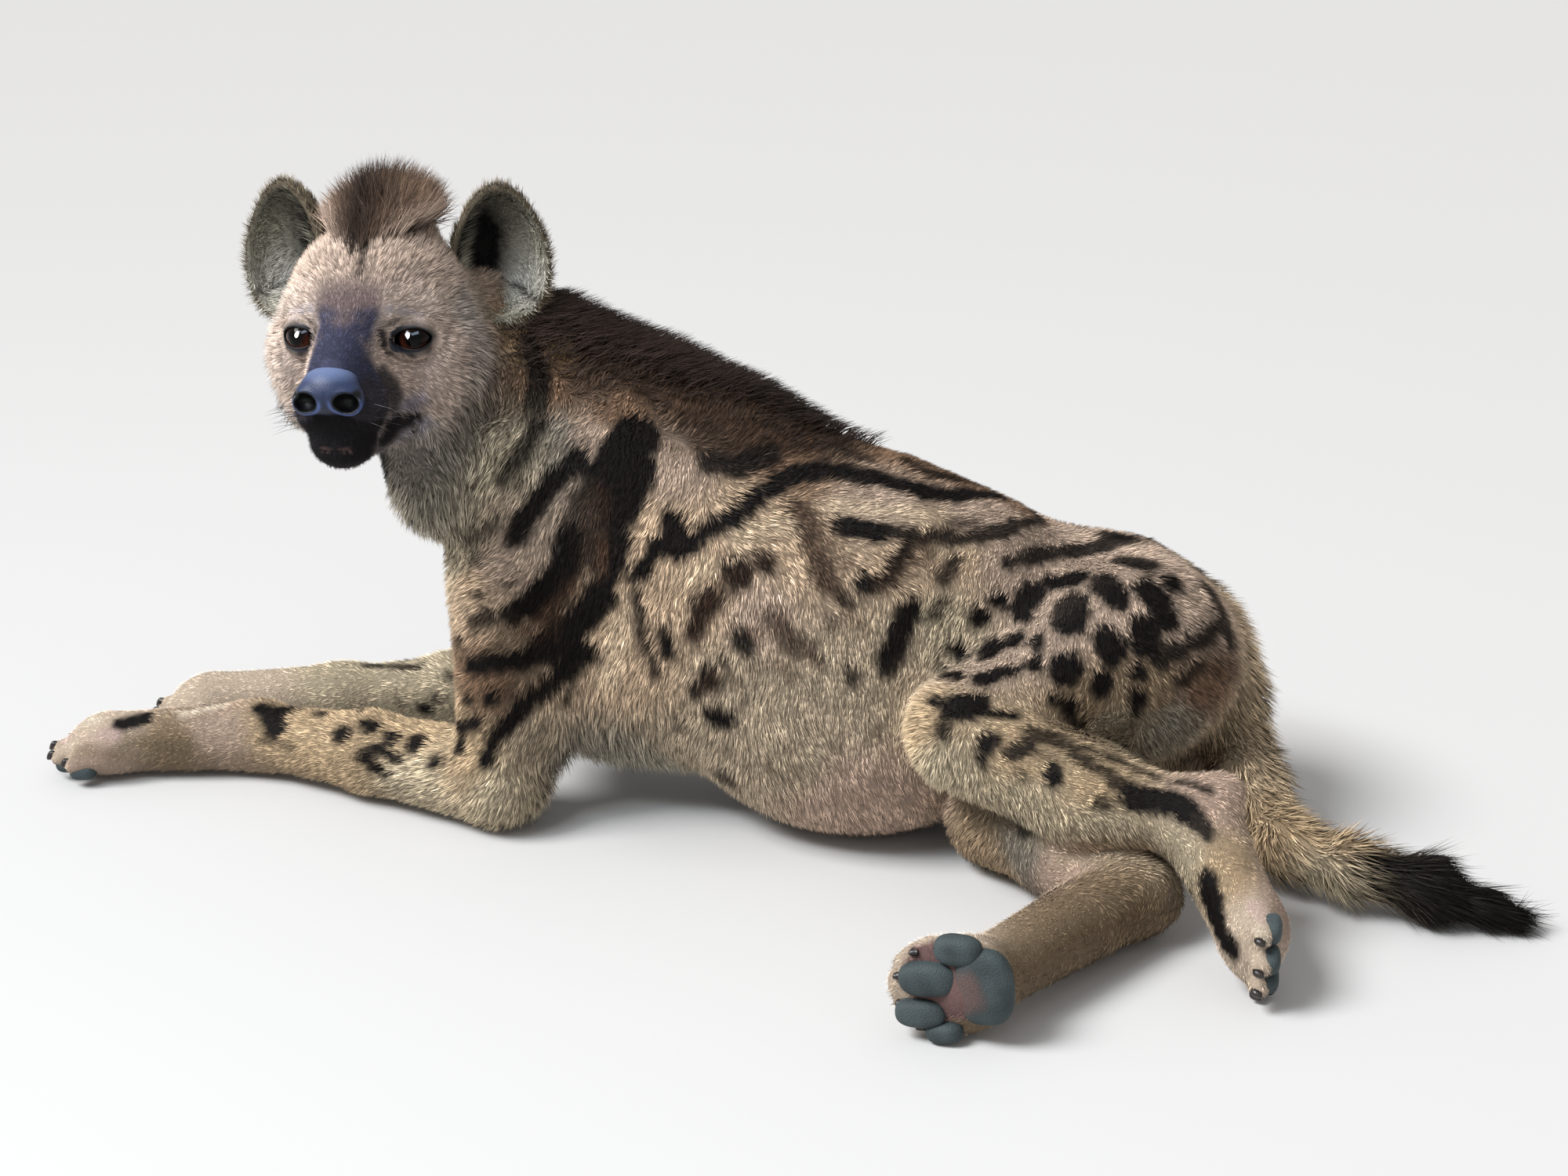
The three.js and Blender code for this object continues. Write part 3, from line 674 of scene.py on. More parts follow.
def grid_quads(rows, columns, closed_rows=False):
    """Faces of a grid whose columns run round and close, and whose rows may close too."""
    i = np.arange(columns)
    return np.concatenate([
        np.stack([k * columns + i, k * columns + (i + 1) % columns,
                  (k + 1) % rows * columns + (i + 1) % columns, (k + 1) % rows * columns + i], 1)
        for k in range(rows if closed_rows else rows - 1)])


def closed_rings(rows, n):
    """Triangles of rows of n points each, closed by fans round two poles that come after them."""
    i, first = np.arange(n), rows * n
    pole = np.full(n, first)
    top = np.stack([pole, i, (i + 1) % n], 1)
    bottom = np.stack([pole + 1, first - n + (i + 1) % n, first - n + i], 1)
    return np.concatenate([triangles_of(grid_quads(rows, n)[:, ::-1]), top, bottom])


def outward(verts, triangles):
    """The triangles turned so that their closed surface holds a positive volume."""
    a, b, c = verts[triangles].transpose(1, 0, 2)
    volume = (a * np.cross(b, c)).sum()
    return triangles if volume > 0 else triangles[:, ::-1]


def head_place(p):
    """Points in the head's frame: side, forward and up."""
    return to_head(p) * vec(1, -1, 1)


# %% [markdown]
# The head deserves a finer skin than the back, because the folds of the face are small. Its
# faces are each cut in four, the front of the face twice, and the new corners are slid onto
# the field as well.

# %% A finer net on the head


def quarter(verts, quads, chosen):
    """Cuts the chosen quads in four and splits their neighbours into triangles round them."""
    edges = np.stack([quads, np.roll(quads, -1, 1)], -1)
    key = np.sort(edges, -1)
    code = key[..., 0].astype(np.int64) * len(verts) + key[..., 1]
    split_codes, back = np.unique(code[chosen], return_inverse=True)
    mid_of = len(verts) + np.arange(len(split_codes))
    mids = (verts[split_codes // len(verts)] + verts[split_codes % len(verts)]) / 2
    picked = quads[chosen]
    centres = verts[picked].mean(1)
    centre_of = len(verts) + len(mids) + np.arange(len(picked))
    mid = mid_of[back.reshape(picked.shape)]
    fine = np.concatenate([
        np.stack([picked[:, i], mid[:, i], centre_of, mid[:, i - 1]], 1) for i in range(4)])
    rest, rest_code = quads[~chosen], code[~chosen]
    slot_at = np.searchsorted(split_codes, rest_code)
    slot_at = np.minimum(slot_at, len(split_codes) - 1)
    cut = split_codes[slot_at] == rest_code
    plain = rest[~cut.any(1)]
    mixed, mixed_cut, mixed_mid = rest[cut.any(1)], cut[cut.any(1)], mid_of[slot_at[cut.any(1)]]
    hub = len(verts) + len(mids) + len(centres) + np.arange(len(mixed))
    fans = []
    for i in range(4):
        a, b, m, c = mixed[:, i], np.roll(mixed, -1, 1)[:, i], mixed_mid[:, i], mixed_cut[:, i]
        fans += [np.stack([a[~c], b[~c], hub[~c]], 1), np.stack([a[c], m[c], hub[c]], 1),
                 np.stack([m[c], b[c], hub[c]], 1)]
    all_verts = np.concatenate([verts, mids, centres, verts[mixed].mean(1)])
    return all_verts, np.concatenate([plain, fine]), np.concatenate(fans)


# boxes of the head's frame: half the width, the back, the underside and the top
FINER_HEAD = ((112, -140, -126, 108), (70, -30, -104, 44))
fans = []
for half_side, behind, under, over in FINER_HEAD:
    side, forward, up = head_place(skin_verts[skin_quads].mean(1)).T
    on_face = (np.abs(side) < half_side) & (forward > behind) & (up > under) & (up < over)
    old = len(skin_verts)
    skin_verts, skin_quads, fan_triangles = quarter(skin_verts, skin_quads, on_face)
    skin_verts[old:] = settle(skin_field, skin_verts[old:])
    fans.append(fan_triangles)
skin_triangles = np.concatenate([triangles_of(skin_quads)] + fans)
skin_normals = unit(slope(skin_field, skin_verts))
corners_of = skin_verts[skin_triangles]
facing = np.cross(corners_of[:, 1] - corners_of[:, 0], corners_of[:, 2] - corners_of[:, 0])
skin_area = np.linalg.norm(facing, axis=1) / 2
turned = (facing * skin_normals[skin_triangles[:, 0]]).sum(1) < 0
print("skin triangles:", len(skin_triangles), "area in m2:", round(skin_area.sum() / 1e6, 2),
      "turned:", int(turned.sum()))

# %% [markdown]
# First finishes. Every colour is stored with its mesh, point by point, and the shader only
# varies it a little: with noise on hair and skin, and with small cells on nose and pads.

# %% Finishes of skin and coat


def linear(red, green, blue):
    """A colour as seen on a screen, 0 to 255, to the light that it stands for."""
    c = np.array([red, green, blue]) / 255
    return np.where(c > 0.04045, ((c + 0.055) / 1.055) ** 2.4, c / 12.92)


def new_material(name):
    material = bpy.data.materials.new(name)
    material.use_nodes = True
    nodes = material.node_tree.nodes
    return material, nodes, material.node_tree.links, nodes["Principled BSDF"]


def surface(name, roughness, specular, grain, bump, low=0.8, high=1.15, cells=False, detail=2,
            depth=0.0006):
    """The stored colour, varied by noise or by cells in Object coordinates, with their relief."""
    material, nodes, links, shader = new_material(name)
    stored = nodes.new("ShaderNodeAttribute")
    stored.attribute_name = "coat_colour"
    place = nodes.new("ShaderNodeTexCoord")
    texture = nodes.new("ShaderNodeTexVoronoi" if cells else "ShaderNodeTexNoise")
    texture.inputs["Scale"].default_value = grain
    if not cells:
        texture.inputs["Detail"].default_value = detail
    links.new(place.outputs["Object"], texture.inputs["Vector"])
    value = texture.outputs["Distance" if cells else "Fac"]
    strength = nodes.new("ShaderNodeMapRange")
    limits = (0.1, 0.6, high, low) if cells else (0.3, 0.7, low, high)
    for socket, limit in zip(("From Min", "From Max", "To Min", "To Max"), limits):
        strength.inputs[socket].default_value = limit
    links.new(value, strength.inputs["Value"])
    shaded = nodes.new("ShaderNodeVectorMath")
    shaded.operation = "SCALE"
    links.new(stored.outputs["Color"], shaded.inputs[0])
    links.new(strength.outputs["Result"], shaded.inputs["Scale"])
    links.new(shaded.outputs["Vector"], shader.inputs["Base Color"])
    relief = nodes.new("ShaderNodeBump")
    relief.inputs["Strength"].default_value = bump
    relief.inputs["Distance"].default_value = depth
    relief.invert = cells
    links.new(value, relief.inputs["Height"])
    links.new(relief.outputs["Normal"], shader.inputs["Normal"])
    shader.inputs["Roughness"].default_value = roughness
    shader.inputs["Specular IOR Level"].default_value = specular
    return material


def hairy(name, roughness, grain, bump):
    return surface(name, roughness, 0.12, grain, bump, 0.82, 1.14, detail=3, depth=0.001)


SKIN = hairy("skin_under_the_coat", 0.75, 420, 0.5)
COAT = hairy("fur", 0.6, 160, 0.0)
OWN_PIECES = ("eye", "claw", "ear", "nose")
FLESH_NODES = [name for name in frame["nodes"] if not name.startswith(OWN_PIECES)]
skin = mesh_piece("skin", skin_verts, skin_triangles, SKIN)
ride(skin, "coat", *FLESH_NODES)
print("skin stands for:", ", ".join(FLESH_NODES))

# %% [markdown]
# The coat is planned as a furrier would plan it: a map of the animal, region by region. Each
# row of the map is an arrow read off the picture. It starts where the hair grows and points
# the way it lies, and carries the hair's colour, its length and how far it stands up. A tuft
# anywhere takes a blend of the nearest arrows of its own part of the body, so hair and colour
# change smoothly. The side that the picture doesn't show takes the arrows of the side it shows.

# %% Colours of the coat
COLOURS = {name: linear(*seen) for name, seen in dict(
    saddle=(72, 55, 43), mane=(58, 47, 42), crest=(36, 27, 23), crest_side=(152, 126, 106),
    gold=(176, 144, 104), flank=(208, 181, 152), rose=(200, 176, 156), belly=(186, 168, 144),
    belly_pink=(214, 186, 166), cream=(206, 190, 162), brown=(136, 108, 86), sandy=(200, 174, 140),
    paw=(236, 214, 190), thigh=(204, 180, 160), tail=(216, 192, 160), brush=(30, 28, 26),
    face=(200, 178, 162), face_light=(220, 200, 186), cheek=(184, 173, 163), throat=(164, 156, 140),
    mask=(70, 72, 96), muzzle=(64, 60, 66), lip=(27, 24, 27), brow=(214, 208, 220),
    # the near black ear colour on the next line is painted shade in the depth of the ear's cup
    grizzle=(132, 114, 112), ear=(186, 181, 162), ear_lobe=(222, 219, 210), ear_cup_shade=(12, 10, 9),
    ear_back=(120, 108, 90), hind=(156, 134, 108), grey=(128, 122, 112), stripe=(22, 17, 15),
    dark_brown=(66, 48, 37), brown_light=(96, 72, 56), bare_skin=(150, 118, 114),
    under_eye=(222, 200, 188), lilac=(160, 154, 176), bridge=(92, 94, 124),
    lip_pale=(130, 104, 98), flank_light=(236, 212, 180), round_eye=(30, 26, 30),
    # on the paws, the pale toe colour is a painted highlight on the toes' tops, and the olive a painted shade
    # on the paw's lower part
    toe_highlight=(255, 238, 214), toe_pink=(240, 208, 200), olive=(140, 122, 96),
).items()}

# %% Parts of the body
PARTS = dict(
    head=head_and_ears,
    trunk=core,
    arm_left=foreleg_left,
    arm_right=foreleg_right,
    leg_left=lambda p: np.minimum(left_thigh(p), hindleg_left(p)),
    leg_right=hindleg_right,
    tail=tail_flesh,
)
PART_BLEND = 9
TRUNK_SPLIT = -8


def part_number(name):
    return list(PARTS).index(name)


def part_shares(points):
    """How much each part of the body claims a point: exp of its distance behind the nearest."""
    distance = np.stack([read_field(field, points) for field in PARTS.values()], 1)
    shares = np.exp(-(distance - distance.min(1, keepdims=True)) / PART_BLEND)
    return shares / shares.sum(1, keepdims=True)


def fold_head(points):
    """Points of the head folded across its middle plane to its left side, and which were."""
    folded = to_head(points)
    far = folded[:, 0] < 0
    folded[:, 0] = np.abs(folded[:, 0])
    return from_head(folded), far


def fold_trunk(points):
    """Points of the trunk folded across a plane along the spine to its left side, and which."""
    folded = points.copy()
    folded[:, 1] = TRUNK_SPLIT - np.abs(points[:, 1] - TRUNK_SPLIT)
    return folded, points[:, 1] > TRUNK_SPLIT


print("parts of the body:", ", ".join(PARTS))

# %% The map of the coat
# Each row: x and y where the hair grows, x and y towards which it lies, colour, length in mm,
# and how steeply it stands in degrees.
COAT_MAP = [
    # face
    (446, 402, 446, 362, "grizzle", 5, 28), (440, 445, 442, 410, "mask", 4, 24),
    (430, 385, 428, 345, "grizzle", 6, 28), (466, 380, 470, 340, "grizzle", 6, 28),
    (402, 470, 392, 500, "mask", 4, 20), (470, 470, 490, 500, "mask", 4, 20),
    (500, 505, 525, 525, "muzzle", 6, 22), (480, 540, 500, 570, "muzzle", 6, 24),
    (440, 580, 455, 600, "lip", 5, 24), (395, 560, 388, 580, "muzzle", 6, 28),
    (418, 455, 412, 440, "mask", 3, 18), (508, 555, 530, 565, "muzzle", 6, 22),
    (450, 330, 450, 290, "face", 9, 30), (415, 335, 402, 300, "face", 9, 30),
    (500, 330, 515, 300, "face", 9, 30), (560, 350, 590, 330, "face", 11, 28),
    (420, 300, 412, 270, "face", 10, 30), (520, 300, 535, 275, "face", 10, 30),
    (380, 385, 368, 370, "face", 8, 26), (540, 388, 560, 376, "face_light", 8, 26),
    (515, 398, 530, 390, "face_light", 6, 24), (384, 398, 374, 392, "face_light", 6, 24),
    (600, 400, 625, 415, "cheek", 13, 28), (570, 430, 600, 440, "face", 11, 26),
    (540, 465, 570, 475, "face_light", 9, 26), (500, 468, 520, 478, "rose", 6, 24),
    (365, 465, 352, 475, "face_light", 8, 26), (560, 520, 595, 535, "face", 12, 26),
    (545, 545, 575, 560, "cheek", 12, 26), (620, 470, 640, 500, "cheek", 18, 32),
    (610, 530, 630, 560, "grey", 20, 34), (575, 580, 585, 610, "grey", 18, 30),
    (520, 585, 535, 605, "cheek", 10, 26), (480, 600, 490, 620, "lip", 7, 26),
    (355, 430, 342, 440, "face_light", 9, 28), (360, 510, 352, 525, "face_light", 8, 28),
    (580, 310, 592, 292, "face", 9, 28), (430, 240, 425, 205, "crest", 16, 50),
    (490, 235, 490, 195, "crest", 18, 50), (540, 240, 560, 205, "crest_side", 16, 46),
    (470, 280, 470, 240, "crest", 14, 42), (405, 250, 390, 225, "crest_side", 12, 40),
    # throat, chest and neck
    (500, 640, 515, 680, "throat", 18, 30), (560, 640, 575, 690, "throat", 19, 30),
    (600, 600, 600, 650, "throat", 19, 30), (580, 700, 590, 735, "cream", 19, 28),
    (640, 560, 625, 610, "cream", 19, 32), (700, 480, 700, 540, "brown", 19, 28),
    (705, 435, 712, 480, "gold", 18, 19), (700, 560, 690, 610, "grey", 16, 19),
    (745, 470, 770, 450, "saddle", 18, 28), (740, 380, 760, 355, "mane", 19, 40),
    (820, 440, 850, 415, "mane", 19, 40), (900, 460, 940, 440, "mane", 19, 38),
    # shoulder and back
    (790, 520, 770, 560, "brown", 18, 19), (760, 560, 735, 610, "rose", 16, 17),
    (860, 600, 845, 660, "rose", 16, 17), (850, 670, 830, 720, "flank", 18, 17),
    (880, 520, 910, 490, "saddle", 18, 19), (960, 535, 995, 508, "saddle", 18, 19),
    (1040, 540, 1085, 525, "saddle", 18, 19), (1140, 570, 1185, 565, "brown", 16, 17),
    (1000, 590, 1040, 580, "brown", 16, 17), (1220, 600, 1265, 605, "brown", 15, 15),
    (1300, 620, 1345, 630, "brown", 13, 15), (960, 650, 1000, 670, "flank", 18, 17),
    (1120, 640, 1165, 650, "rose", 16, 15), (1250, 650, 1290, 655, "rose", 15, 15),
    (1020, 700, 1050, 735, "flank", 18, 17), (1150, 720, 1185, 750, "flank", 18, 17),
    # flank and belly
    (800, 760, 795, 815, "flank", 18, 17), (800, 850, 790, 905, "flank", 19, 17),
    (900, 760, 895, 815, "flank", 18, 17), (960, 780, 970, 830, "rose", 18, 17),
    (940, 870, 945, 925, "belly", 18, 17), (1030, 860, 1040, 910, "belly", 16, 15),
    (1120, 880, 1125, 930, "belly", 16, 15), (1000, 960, 1030, 1000, "belly", 18, 17),
    (1160, 800, 1150, 850, "belly", 16, 15), (1150, 1020, 1170, 1050, "belly_pink", 13, 19),
    (1080, 1030, 1110, 1055, "belly_pink", 15, 19), (880, 960, 900, 1000, "belly", 19, 19),
    (800, 970, 830, 985, "throat", 24, 30), (1210, 700, 1190, 740, "flank", 15, 15),
    # upper arm and foreleg
    (690, 700, 670, 750, "rose", 16, 17), (640, 720, 610, 745, "rose", 16, 17),
    (600, 740, 575, 760, "flank", 16, 28), (680, 800, 650, 830, "flank", 16, 17),
    (620, 870, 595, 900, "brown", 15, 17), (720, 860, 705, 920, "flank", 18, 17),
    (690, 950, 670, 1000, "belly", 21, 19), (740, 960, 740, 1000, "grey", 23, 28),
    (600, 960, 575, 990, "sandy", 15, 19), (640, 1010, 620, 1040, "cream", 16, 28),
    (520, 930, 470, 935, "sandy", 15, 15), (440, 920, 390, 925, "sandy", 14, 15),
    (520, 1000, 470, 1005, "cream", 16, 19), (420, 965, 370, 960, "sandy", 14, 17),
    (350, 920, 300, 922, "sandy", 12, 20), (270, 930, 220, 935, "rose", 10, 18),
    (220, 950, 170, 955, "hind", 10, 20), (130, 920, 90, 930, "paw", 8, 15),
    (80, 950, 58, 955, "paw", 6, 17), (110, 965, 80, 970, "belly_pink", 6, 17),
    (560, 850, 520, 850, "cream", 14, 17), (450, 855, 400, 862, "cream", 13, 15),
    (300, 878, 250, 885, "paw", 9, 20),
    # thigh, shank and hind foot
    (1200, 800, 1165, 840, "cream", 16, 30), (1300, 720, 1275, 760, "thigh", 16, 15),
    (1360, 700, 1355, 740, "thigh", 16, 15), (1330, 800, 1325, 850, "thigh", 15, 15),
    (1250, 830, 1225, 870, "thigh", 15, 15), (1170, 920, 1150, 950, "sandy", 15, 30),
    (1440, 760, 1450, 810, "thigh", 15, 15), (1530, 780, 1555, 820, "thigh", 16, 17),
    (1390, 900, 1395, 945, "hind", 16, 17), (1470, 880, 1490, 920, "hind", 15, 19),
    (1540, 880, 1555, 920, "brown", 16, 28), (1420, 940, 1430, 965, "cream", 15, 30),
    (1500, 930, 1520, 955, "throat", 15, 28), (1400, 680, 1440, 690, "thigh", 16, 17),
    (1500, 720, 1530, 750, "thigh", 16, 17), (1200, 980, 1210, 1015, "cream", 16, 28),
    (1300, 960, 1350, 985, "sandy", 14, 15), (1300, 1030, 1340, 1060, "cream", 15, 30),
    (1400, 1060, 1450, 1085, "cream", 14, 28), (1400, 1000, 1450, 1025, "sandy", 13, 15),
    (1500, 1090, 1540, 1120, "cream", 13, 19), (1540, 1010, 1575, 1050, "belly_pink", 12, 15),
    (1560, 1100, 1580, 1150, "sandy", 11, 15), (1600, 1170, 1620, 1220, "paw", 8, 15),
    (1590, 1230, 1610, 1270, "paw", 8, 17), (1640, 1150, 1650, 1180, "belly_pink", 6, 15),
    # the right hind leg
    (1240, 1080, 1250, 1120, "hind", 16, 19), (1300, 1070, 1330, 1110, "grey", 14, 17),
    (1260, 1130, 1290, 1150, "sandy", 14, 19), (1350, 1110, 1400, 1110, "belly_pink", 12, 15),
    (1420, 1120, 1450, 1150, "hind", 13, 17), (1460, 1180, 1430, 1210, "hind", 13, 19),
    (1380, 1190, 1330, 1210, "hind", 12, 15), (1330, 1240, 1300, 1245, "hind", 10, 15),
    (1150, 1190, 1130, 1200, "paw", 9, 30), (1200, 1180, 1180, 1170, "paw", 9, 30),
    (1290, 1280, 1265, 1300, "hind", 9, 19),
    # tail
    (1590, 850, 1600, 910, "tail", 26, 26), (1610, 950, 1635, 1010, "tail", 28, 26),
    (1620, 1050, 1660, 1100, "sandy", 28, 26), (1700, 1060, 1750, 1090, "sandy", 30, 24),
    (1680, 1120, 1730, 1140, "cream", 30, 24), (1760, 1100, 1810, 1120, "brush", 48, 20),
    (1850, 1130, 1900, 1150, "brush", 52, 16), (1900, 1150, 1940, 1165, "brush", 50, 12),
]
COAT_SURFACE = 6


def over_skin(pixels):
    """The places on the coat, a little above the skin, that are seen at these pixels."""
    rays = pixel_rays(np.asarray(pixels, float))
    start = np.broadcast_to(camera_place, rays.shape)
    return cast(drawn_in(skin_field, -COAT_SURFACE), start, rays, CLEAR_OF_ALL)


arrows = np.array([row[:4] for row in COAT_MAP], float)
map_place = over_skin(arrows[:, :2])
map_lie = unit(over_skin(arrows[:, 2:]) - map_place)
map_colour = np.array([COLOURS[row[4]] for row in COAT_MAP])
map_length = np.array([row[5] for row in COAT_MAP], float)
# the picture shows a lock's length longer than one tuft of it is
SHORT_SHARE, LONG_SHARE, LONG_FROM = 0.6, 0.85, 22
on_face = np.linalg.norm(map_place - EYE_LINE, axis=1) < FACE_REACH
map_length *= np.where((map_length > LONG_FROM) | on_face, LONG_SHARE, SHORT_SHARE)
map_lift = np.radians([row[6] for row in COAT_MAP])
map_part = part_shares(map_place).argmax(1)
print("rows of the coat map:", len(COAT_MAP))
for name, count in zip(PARTS, np.bincount(map_part, minlength=len(PARTS))):
    print(" ", name, count)

# %% [markdown]
# The markings are strokes drawn over the picture: a line of points and a width. They too are
# laid on the coat, and a point of the coat is dark as far as it lies inside a stroke. Each row
# holds the width from the middle in pixels, how strong the colour is, and the line's points.

